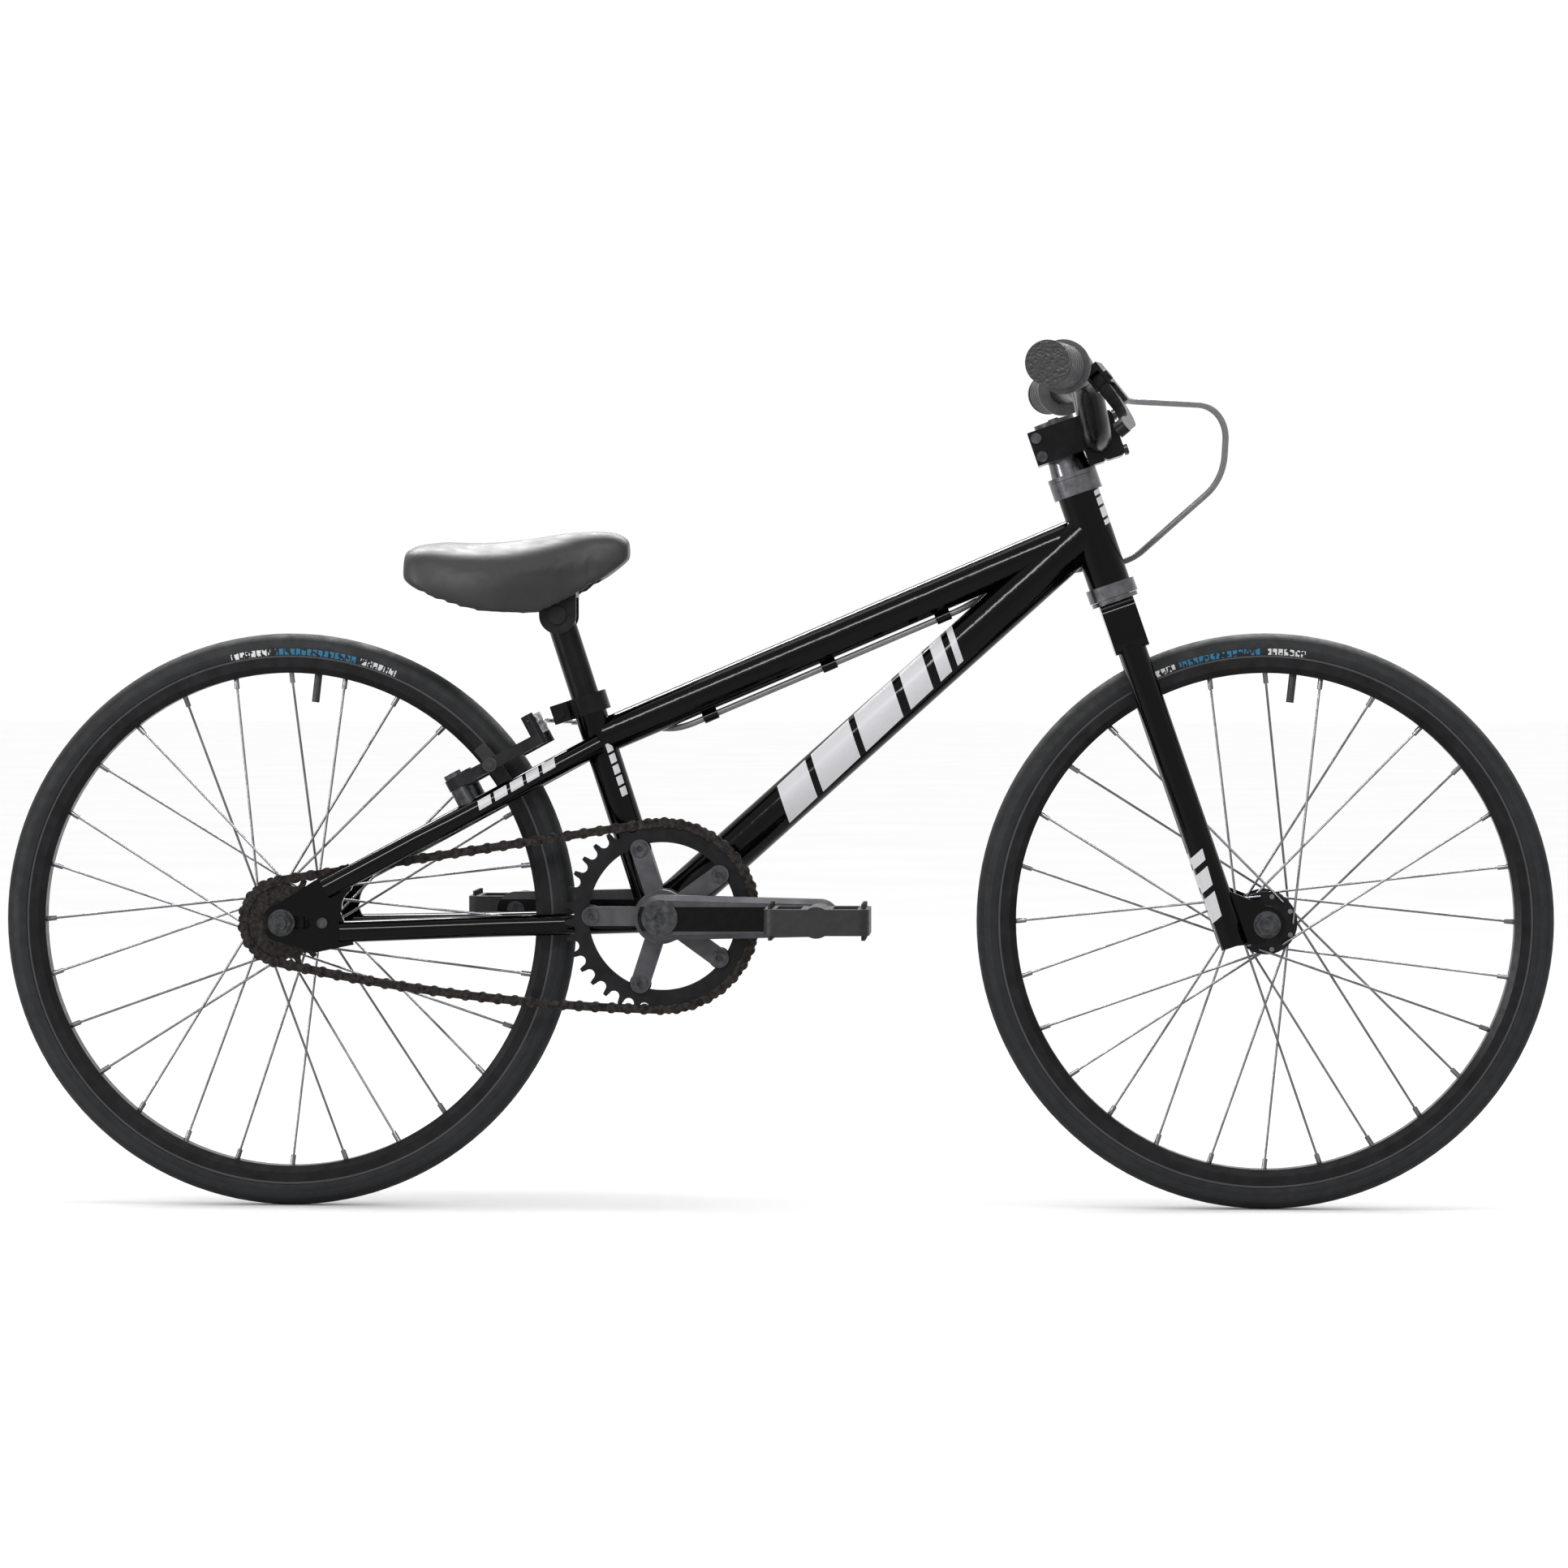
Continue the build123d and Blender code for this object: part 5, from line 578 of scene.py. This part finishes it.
@dataclass
class Tyres:
    """Tyre rubber: a paler running band, moulded rings on the wall, and printed labels. Radii are in mm."""

    label_radius: tuple[float, float] = (207.0, 213.0)
    band_radius: tuple[float, float] = (214.0, 219.0)
    band_tone: str = "#2a2b2d"
    band_fleck: float = 5.0
    wall_radius: float = 205.0
    groove_pitch: float = 1.6
    groove_depth: float = 2.0
    letters_per_degree: float = 0.83
    gap_share: float = 0.24
    chip_size: float = 2.4
    chip_share: float = 0.42
    nodes: tuple[str, ...] = ("rear_tyre", "front_tyre")
    labels: dict[str, tuple[Label, ...]] = field(
        default_factory=lambda: {
            "rear_tyre": (
                Label(-12.5, -4.0, "#d9d9da"),
                Label(-3.0, 14.5, "#2a6a8a"),
                Label(15.5, 23.5, "#c9c9ca"),
            ),
            "front_tyre": (
                Label(-26.0, -19.5, "#c9c9ca"),
                Label(-18.5, -1.0, "#2a6a8a"),
                Label(0.5, 8.5, "#c9c9ca"),
            ),
        }
    )

    def material(self, name: str, finish: Finish) -> bpy.types.Material:
        """Makes a tyre's material.

        Args:
            name: The tyre's node.
            finish: The rubber.

        Returns:
            The finished material.
        """
        shader = Shader(finish, "_" + name)
        radius, turn = shader.polar(name)
        pale_band = shader.within(radius, self.band_radius[0] * MM, self.band_radius[1] * MM)
        pale_band_share = shader.reckon("MULTIPLY", pale_band, shader.spread(shader.noise(self.band_fleck), 0.25, 0.6))
        shader.colour = shader.mix(pale_band_share, shader.colour, linear(self.band_tone))
        self._print(shader, radius, turn, self.labels[name])
        rings = shader.waves(radius, self.groove_pitch)
        wall = shader.reckon("LESS_THAN", radius, self.wall_radius * MM)
        rings = shader.reckon("MULTIPLY", shader.spread(rings, 0.0, 1.0, -1.0, 1.0), wall)
        shader.height = shader.reckon("MULTIPLY_ADD", rings, self.groove_depth, shader.height)
        return shader.close()

    def _print(self, shader: Shader, radius: Socket, turn: Socket, labels: tuple[Label, ...]) -> None:
        """Prints labels as rows of upright marks, chipped a little by noise.

        Args:
            shader: The tyre's material, whose colour is changed.
            radius: Distance from the axle in metres.
            turn: Turn from the wheel's top in degrees.
            labels: What to print.
        """
        band = shader.within(radius, self.label_radius[0] * MM, self.label_radius[1] * MM)
        step = shader.reckon("FRACT", shader.reckon("MULTIPLY", turn, self.letters_per_degree))
        letters = shader.reckon("GREATER_THAN", step, self.gap_share)
        chips = shader.reckon("GREATER_THAN", shader.noise(self.chip_size, 0.0), self.chip_share)
        for label in labels:
            part = shader.reckon("MULTIPLY", shader.within(turn, label.start, label.end), band)
            part = shader.reckon("MULTIPLY", shader.reckon("MULTIPLY", part, letters), chips)
            shader.colour = shader.mix(part, shader.colour, linear(label.tone))


@dataclass
class Rims:
    """Rims: black anodised, with the outer lip painted a little brighter as a painted highlight. The lip is in
    mm.
    """

    lip: float = 1.6
    painted_highlight_share: float = 0.2
    painted_highlight_tone: str = "#8d8d90"
    nodes: tuple[str, ...] = ("rear_rim", "front_rim")

    def material(self, name: str, finish: Finish) -> bpy.types.Material:
        """Makes a rim's material.

        Args:
            name: The rim's node.
            finish: What the rim is made of.

        Returns:
            The finished material.
        """
        shader = Shader(finish, "_" + name)
        low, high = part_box(name)
        radius, _ = shader.polar(name)
        # Painted highlight: the outer lip is mixed a fifth of the way towards pale grey.
        edge = shader.reckon("GREATER_THAN", radius, (high.x - low.x) / 2 - self.lip * MM)
        share = shader.reckon("MULTIPLY", edge, self.painted_highlight_share)
        shader.colour = shader.mix(share, shader.colour, linear(self.painted_highlight_tone))
        return shader.close()


@dataclass
class Grips:
    """Grips: waffled ends and fine ribs round the hand part. Sizes are in mm, the bar's tip in metres."""

    waffle: float = 2.6
    rib_pitch: float = 3.2
    relief: float = 6.0
    mottle: float = 3.5
    mottle_tones: tuple[str, str] = ("#060607", "#1d1d1f")
    bar_sweep: float = 10.24
    bar_tip: Point = (0.2128, 0.259, 0.6483)
    plug_depth: float = 1.5
    nodes: tuple[str, ...] = ("grips",)

    def material(self, name: str, finish: Finish) -> bpy.types.Material:
        """Makes the grips' material: the ends are what lies past a plane square to each swept-back bar end.

        Args:
            name: The grips' node.
            finish: The rubber.

        Returns:
            The finished material.
        """
        shader = Shader(finish, "_waffled_" + name)
        pits = shader.spread(shader.cells(self.waffle), 0.0, 1.0, 0.1, 0.6)
        side = shader.reckon("ABSOLUTE", shader.along(Vector(), ASIDE))
        back = math.radians(self.bar_sweep)
        ahead = shader.along(Vector(self.bar_tip), AHEAD * math.sin(back))
        short = shader.reckon("MULTIPLY_ADD", side, -math.cos(back), self.bar_tip[1] * math.cos(back))
        end = shader.reckon("LESS_THAN", shader.reckon("ADD", ahead, short), self.plug_depth * MM)
        ribs = shader.waves(side, self.rib_pitch)
        shaped = shader.reckon("MULTIPLY_ADD", pits, end, shader.spread(ribs, 0.0, 0.6, -1.0, 1.0))
        raised = shader.reckon("MULTIPLY", shaped, self.relief)
        shader.height = shader.reckon("ADD", shader.height, raised)
        dark, pale = (linear(tone) for tone in self.mottle_tones)
        mottle = shader.mix(shader.spread(shader.noise(self.mottle), 0.0, 1.0), dark, pale)
        shader.colour = shader.mix(end, shader.colour, mottle)
        return shader.close()


@dataclass
class CrankArms:
    """Crank arms: grey forged edges above and below a polished black face, whose foot and top are in mm."""

    face: tuple[float, float] = (-10.5, 8.5)
    face_tone: str = "#0c0c0d"
    face_polish: float = 0.14
    nodes: tuple[str, ...] = ("crank_arm_right", "crank_arm_left")

    def material(self, name: str, finish: Finish) -> bpy.types.Material:
        """Makes a crank arm's material.

        Args:
            name: The arm's node.
            finish: The forged metal of its edges.

        Returns:
            The finished material.
        """
        shader = Shader(finish, "_" + name)
        low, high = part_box(name)
        level = shader.along((low + high) / 2, ABOVE)
        face = shader.within(level, self.face[0] * MM, self.face[1] * MM)
        shader.colour = shader.mix(face, shader.colour, linear(self.face_tone))
        shader.rough = shader.reckon("MULTIPLY_ADD", face, -self.face_polish, shader.rough)
        return shader.close()


@dataclass
class Paintwork:
    """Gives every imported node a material: one of its own for the special parts, a shared one for the rest."""

    special: tuple[object, ...] = (Tubes(), Tyres(), Rims(), Grips(), CrankArms())

    def build(self) -> None:
        """Assigns one material to each node's own slot."""
        slot_of = {part["node"]: part["material_slot"] for part in frame["record"]["subparts"]}
        own = {name: part for part in self.special for name in part.nodes}
        finishes = sorted({*FINISH_OF_SLOT.values(), *FINISH_OF_NODE.values()}, key=lambda one: one.name)
        shared = {finish: Shader(finish).close() for finish in finishes}
        for name, node in frame["nodes"].items():
            slot = slot_of[name]
            finish = FINISH_OF_NODE.get(name, FINISH_OF_SLOT[slot])
            material = own[name].material(name, finish) if name in own else shared[finish]
            node.data.materials.clear()
            node.data.materials.append(material)


@dataclass
class SaddlePad:
    """The stuffed saddle cover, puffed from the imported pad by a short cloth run. Sizes are in mm."""

    node: str = "saddle_pad"
    voxel: float = 3.2
    ease_factor: float = 0.5
    ease_steps: int = 3
    start_inset: float = 0.8
    held_share: float = 0.3
    freed_share: float = 0.25
    weight_steps: int = 10
    pressure: float = 4.0
    cloth_quality: int = 6
    last_frame: int = 20
    furthest: float = 1.6
    fill: float = 0.75
    pore: float = 1.3
    pore_depth: float = 0.8
    sheen: float = 0.1
    sheen_roughness: float = 0.45

    def build(self) -> bpy.types.Object:
        """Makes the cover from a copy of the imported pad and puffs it.

        Returns:
            The cover, with its modifiers made its own mesh.
        """
        pad = bpy.data.objects.new("saddle_cover", frame["nodes"][self.node].data.copy())
        bpy.context.scene.collection.objects.link(pad)
        pad.data.materials.clear()
        remesh = pad.modifiers.new("even", "REMESH")
        remesh.mode = "VOXEL"
        remesh.voxel_size = self.voxel * MM
        ease = pad.modifiers.new("ease", "SMOOTH")
        ease.factor = self.ease_factor
        ease.iterations = self.ease_steps
        self._bake(pad)
        rest = self._points(pad)
        free = self._free(rest[:, 2])
        self._store(pad, rest - self._outward(pad) * (self.start_inset * MM * free)[:, None])
        self._puff(pad, rest, free)
        soften = pad.modifiers.new("soften", "SUBSURF")
        soften.levels = soften.render_levels = 1
        self._bake(pad)
        pad.data.polygons.foreach_set("use_smooth", np.ones(len(pad.data.polygons), bool))
        return pad

    def dress(self, pad: bpy.types.Object) -> None:
        """Gives the cover its vinyl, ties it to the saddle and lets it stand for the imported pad.

        Args:
            pad: The built cover.
        """
        shader = Shader(SADDLE_VINYL, "_cover")
        pores = shader.cells(self.pore)
        shader.height = shader.reckon("MULTIPLY_ADD", pores, self.pore_depth, shader.height)
        shader.surface.inputs["Sheen Weight"].default_value = self.sheen
        shader.surface.inputs["Sheen Roughness"].default_value = self.sheen_roughness
        pad.data.materials.append(shader.close())
        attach(pad, "saddle")
        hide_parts(self.node)

    def _free(self, height: np.ndarray) -> np.ndarray:
        """Works out how freely each point moves: 0 at the foot, rising as 3s^2 - 2s^3 to 1 over the top half.

        Args:
            height: Each point's height in metres.

        Returns:
            A share from 0 to 1 for each point.
        """
        share = (height - height.min()) / (height.max() - height.min())
        share = np.clip((share - self.held_share) / self.freed_share, 0.0, 1.0)
        return share * share * (3 - 2 * share)

    def _puff(self, pad: bpy.types.Object, rest: np.ndarray, free: np.ndarray) -> None:
        """Blows the cover up against its own cloth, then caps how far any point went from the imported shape.

        Args:
            pad: The cover, whose mesh is changed.
            rest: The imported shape's points.
            free: How freely each point moves, from 0 to 1.
        """
        held = pad.vertex_groups.new(name="held")
        for step in range(self.weight_steps + 1):
            chosen = np.flatnonzero(np.round((1 - free) * self.weight_steps) == step)
            held.add(chosen.tolist(), step / self.weight_steps, "REPLACE")
        cloth = pad.modifiers.new("puff", "CLOTH")
        cloth.settings.use_pressure = True
        cloth.settings.uniform_pressure_force = self.pressure
        cloth.settings.vertex_group_mass = "held"
        cloth.settings.quality = self.cloth_quality
        cloth.settings.effector_weights.gravity = 0.0
        cloth.point_cache.frame_start = 1
        cloth.point_cache.frame_end = self.last_frame
        scene = bpy.context.scene
        for number in range(1, self.last_frame + 1):
            scene.frame_set(number)
        self._bake(pad)
        scene.frame_set(1)
        shift = self._points(pad) - rest
        length = np.linalg.norm(shift, axis=1)
        limit = self.furthest * MM
        scale = np.where(length > limit, limit / np.maximum(length, 1e-12), 1.0)
        self._store(pad, rest + shift * scale[:, None])
        LOG.info("cover moved up to %.2f mm before the cap", length.max() / MM)

    def _bake(self, pad: bpy.types.Object) -> None:
        """Makes the modifiers' result the object's own mesh."""
        shown = pad.evaluated_get(bpy.context.evaluated_depsgraph_get())
        mesh = bpy.data.meshes.new_from_object(shown)
        pad.modifiers.clear()
        pad.data = mesh

    def _points(self, pad: bpy.types.Object) -> np.ndarray:
        """The mesh's points as rows of x, y, z."""
        flat = np.zeros(len(pad.data.vertices) * 3)
        pad.data.vertices.foreach_get("co", flat)
        return flat.reshape(-1, 3)

    def _outward(self, pad: bpy.types.Object) -> np.ndarray:
        """The direction straight out of the surface at each point."""
        flat = np.zeros(len(pad.data.vertices) * 3)
        pad.data.vertex_normals.foreach_get("vector", flat)
        return flat.reshape(-1, 3)

    def _store(self, pad: bpy.types.Object, points: np.ndarray) -> None:
        """Writes points back to the mesh."""
        pad.data.vertices.foreach_set("co", points.ravel())
        pad.data.update()


@dataclass
class CableHousing:
    """The brake cable's outer sleeve, from the lever's adjuster to the noodle, bending across the steering.

    The route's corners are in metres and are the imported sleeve's own, and each inner corner has a bend in mm.
    """

    node: str = "brake_cable_housing"
    radius: float = 2.5
    sides: int = 16
    step: float = 2.0
    route: tuple[Point, ...] = (
        (0.2677, -0.1297, 0.6270),
        (0.2741, -0.0943, 0.6270),
        (0.3511, -0.0480, 0.6250),
        (0.3482, -0.0300, 0.5690),
        (0.2776, 0.0240, 0.5067),
        (0.1829, 0.0240, 0.4918),
        (0.1457, 0.0000, 0.4690),
        (-0.0752, 0.0000, 0.3752),
        (-0.1160, 0.0340, 0.3760),
        (-0.1452, 0.0520, 0.3802),
        (-0.1631, 0.0520, 0.3808),
    )
    bends: tuple[float, ...] = (30, 32, 50, 35, 30, 30, 30, 60, 30)
    first_bent: int = 1
    last_bent: int = 4
    bent_share: float = 0.93

    def build(self) -> bpy.types.Object:
        """Sweeps a round tube along the rounded route, closed at both ends.

        Returns:
            The sleeve.
        """
        line = self._rounded()
        skin = self._tube(line)
        count = len(line)
        mesh = bpy.data.meshes.new("cable_sleeve")
        ring, turn = np.meshgrid(np.arange(count - 1), np.arange(self.sides), indexing="ij")
        near = ring * self.sides + turn
        next_near = ring * self.sides + (turn + 1) % self.sides
        quads = (near, next_near, next_near + self.sides, near + self.sides)
        faces = np.stack(quads, axis=-1).reshape(-1, 4)
        caps = [list(range(self.sides))[::-1], list(range((count - 1) * self.sides, count * self.sides))]
        mesh.from_pydata(skin.tolist(), [], faces.tolist() + caps)
        mesh.polygons.foreach_set("use_smooth", np.arange(len(mesh.polygons)) < len(faces))
        sleeve = bpy.data.objects.new("cable_sleeve", mesh)
        bpy.context.scene.collection.objects.link(sleeve)
        return sleeve

    def dress(self, sleeve: bpy.types.Object) -> None:
        """Gives the sleeve its jacket, bakes its placement into its mesh and hides the imported sleeve.

        Args:
            sleeve: The built sleeve.
        """
        sleeve.data.materials.append(Shader(CABLE_JACKET, "_sleeve").close())
        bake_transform(sleeve)
        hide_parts(self.node)

    def _rounded(self) -> np.ndarray:
        """Rounds the route: straight runs joined by arcs that touch both runs at each corner.

        An arc of radius r through a turn t starts r tan(t/2) before the corner, and its point at angle a lies
        r sin(a) along the run in and r (1 - cos(a)) towards the run out.

        Returns:
            Evenly spaced points in metres.
        """
        route = np.array(self.route)
        pieces = [route[:1]]
        for before, corner, after, bend in zip(route[:-2], route[1:-1], route[2:], self.bends):
            into = (corner - before) / np.linalg.norm(corner - before)
            out = (after - corner) / np.linalg.norm(after - corner)
            turn = math.acos(float(np.clip(into @ out, -1.0, 1.0)))
            reach = bend * MM * math.tan(turn / 2)
            side = out - into * (into @ out)
            side = side / np.linalg.norm(side)
            angle = np.linspace(0.0, turn, max(3, int(bend * turn / self.step) + 2))[:, None]
            first = corner - into * reach
            pieces.append(first + bend * MM * (np.sin(angle) * into + (1 - np.cos(angle)) * side))
        pieces.append(route[-1:])
        rough = np.concatenate(pieces)
        gaps = np.linalg.norm(np.diff(rough, axis=0), axis=1)
        length = np.concatenate([[0.0], np.cumsum(gaps)])
        even = np.linspace(0.0, length[-1], int(length[-1] / (self.step * MM)) + 1)
        LOG.info("sleeve is %.1f mm long", length[-1] / MM)
        return np.stack([np.interp(even, length, rough[:, axis]) for axis in range(3)], axis=1)

    def _tube(self, line: np.ndarray) -> np.ndarray:
        """Puts rings of points round a line, each the one before, turned by the least that keeps it square.

        Args:
            line: The middle line's points in metres.

        Returns:
            The rings' points, one ring after another.
        """
        run = np.gradient(line, axis=0)
        run = run / np.linalg.norm(run, axis=1)[:, None]
        side = np.cross(run[0], ABOVE)
        sides = []
        for direction in run:
            side = side - direction * (side @ direction)
            side = side / np.linalg.norm(side)
            sides.append(side)
        first = np.array(sides)
        second = np.cross(run, first)
        angle = np.linspace(0.0, 2 * math.pi, self.sides, endpoint=False)[None, :, None]
        circle = np.cos(angle) * first[:, None] + np.sin(angle) * second[:, None]
        return (line[:, None] + circle * self.radius * MM).reshape(-1, 3)


@dataclass(frozen=True)
class Softbox:
    """One rectangular studio light, in metres and watts, seen in gloss and, if wanted, lighting matt surfaces."""

    name: str
    place: Point
    target: Point
    width: float
    height: float
    watts: float
    lights_matt: bool = False

    def build(self) -> None:
        """Hangs the light and aims it."""
        data = bpy.data.lights.new(self.name, "AREA")
        data.shape = "RECTANGLE"
        data.size = self.width
        data.size_y = self.height
        data.energy = self.watts
        light = bpy.data.objects.new(self.name, data)
        bpy.context.scene.collection.objects.link(light)
        light.location = self.place
        light.visible_diffuse = self.lights_matt
        aim = Vector(self.target) - Vector(self.place)
        light.rotation_euler = aim.to_track_quat("-Z", "Y").to_euler()


@dataclass
class Studio:
    """White floor, white surround, softboxes and the camera, in metres, radians and mm of lens."""

    floor_size: float = 60.0
    sky: float = 1.04
    camera_place: Point = (0.2166, -4.4649, 0.4374)
    yaw: float = -0.0471
    pitch: float = -0.0236
    lens: float = 130.94
    sensor: float = 36.0
    softboxes: tuple[Softbox, ...] = (
        Softbox("overhead_softbox", (0.0, -0.2, 2.8), (0.0, 0.0, 0.3), 3.2, 0.7, 30.0, True),
        Softbox("edge_softbox", (0.0, 1.5, 2.4), (0.0, 0.0, 0.35), 3.4, 0.5, 260.0),
        Softbox("front_softbox", (-0.2, -2.6, 1.9), (0.0, 0.0, 0.35), 2.6, 0.3, 110.0),
        Softbox("side_strip", (-3.0, -1.6, 0.9), (0.0, 0.0, 0.4), 0.10, 1.8, 90.0),
    )

    def build(self) -> None:
        """Puts up the floor, the lights and the camera."""
        self._floor()
        self._surround()
        for softbox in self.softboxes:
            softbox.build()
        self._camera()
        bpy.context.scene.view_settings.view_transform = "Standard"

    def _floor(self) -> None:
        """Lays a wide, plain floor of paper at the height of the tyres' lowest point."""
        half = self.floor_size / 2
        mesh = bpy.data.meshes.new("floor")
        corners = [(-half, -half, 0.0), (half, -half, 0.0), (half, half, 0.0), (-half, half, 0.0)]
        mesh.from_pydata(corners, [], [(0, 1, 2, 3)])
        floor = bpy.data.objects.new("floor", mesh)
        bpy.context.scene.collection.objects.link(floor)
        mesh.materials.append(Shader(STUDIO_PAPER).close())

    def _surround(self) -> None:
        """Sets an even white surround."""
        world = bpy.data.worlds.new("white_surround")
        bpy.context.scene.world = world
        world.use_nodes = True
        back = world.node_tree.nodes["Background"]
        back.inputs["Color"].default_value = linear("#ffffff")
        back.inputs["Strength"].default_value = self.sky

    def _camera(self) -> None:
        """Stands the camera up, turned by yaw about the vertical and then by pitch."""
        data = bpy.data.cameras.new("camera")
        data.sensor_width = self.sensor
        data.lens = self.lens
        camera = bpy.data.objects.new("camera", data)
        bpy.context.scene.collection.objects.link(camera)
        level = Vector((math.sin(self.yaw), math.cos(self.yaw), 0.0))
        ahead = level * math.cos(self.pitch) + ABOVE * math.sin(self.pitch)
        right = Vector((math.cos(self.yaw), -math.sin(self.yaw), 0.0))
        up = right.cross(ahead)
        turned = Matrix((right, up, -ahead)).transposed().to_4x4()
        camera.matrix_world = Matrix.Translation(self.camera_place) @ turned
        bpy.context.scene.camera = camera


def main() -> None:
    """Builds the scene in order and reports each part of it."""
    logging.basicConfig(level=logging.INFO)
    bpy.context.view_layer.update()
    LOG.info("finishes")
    Paintwork().build()
    LOG.info("saddle")
    saddle = SaddlePad()
    saddle.dress(saddle.build())
    LOG.info("cable")
    housing = CableHousing()
    housing.dress(housing.build())
    LOG.info("studio")
    Studio().build()


if __name__ == "__main__":
    main()
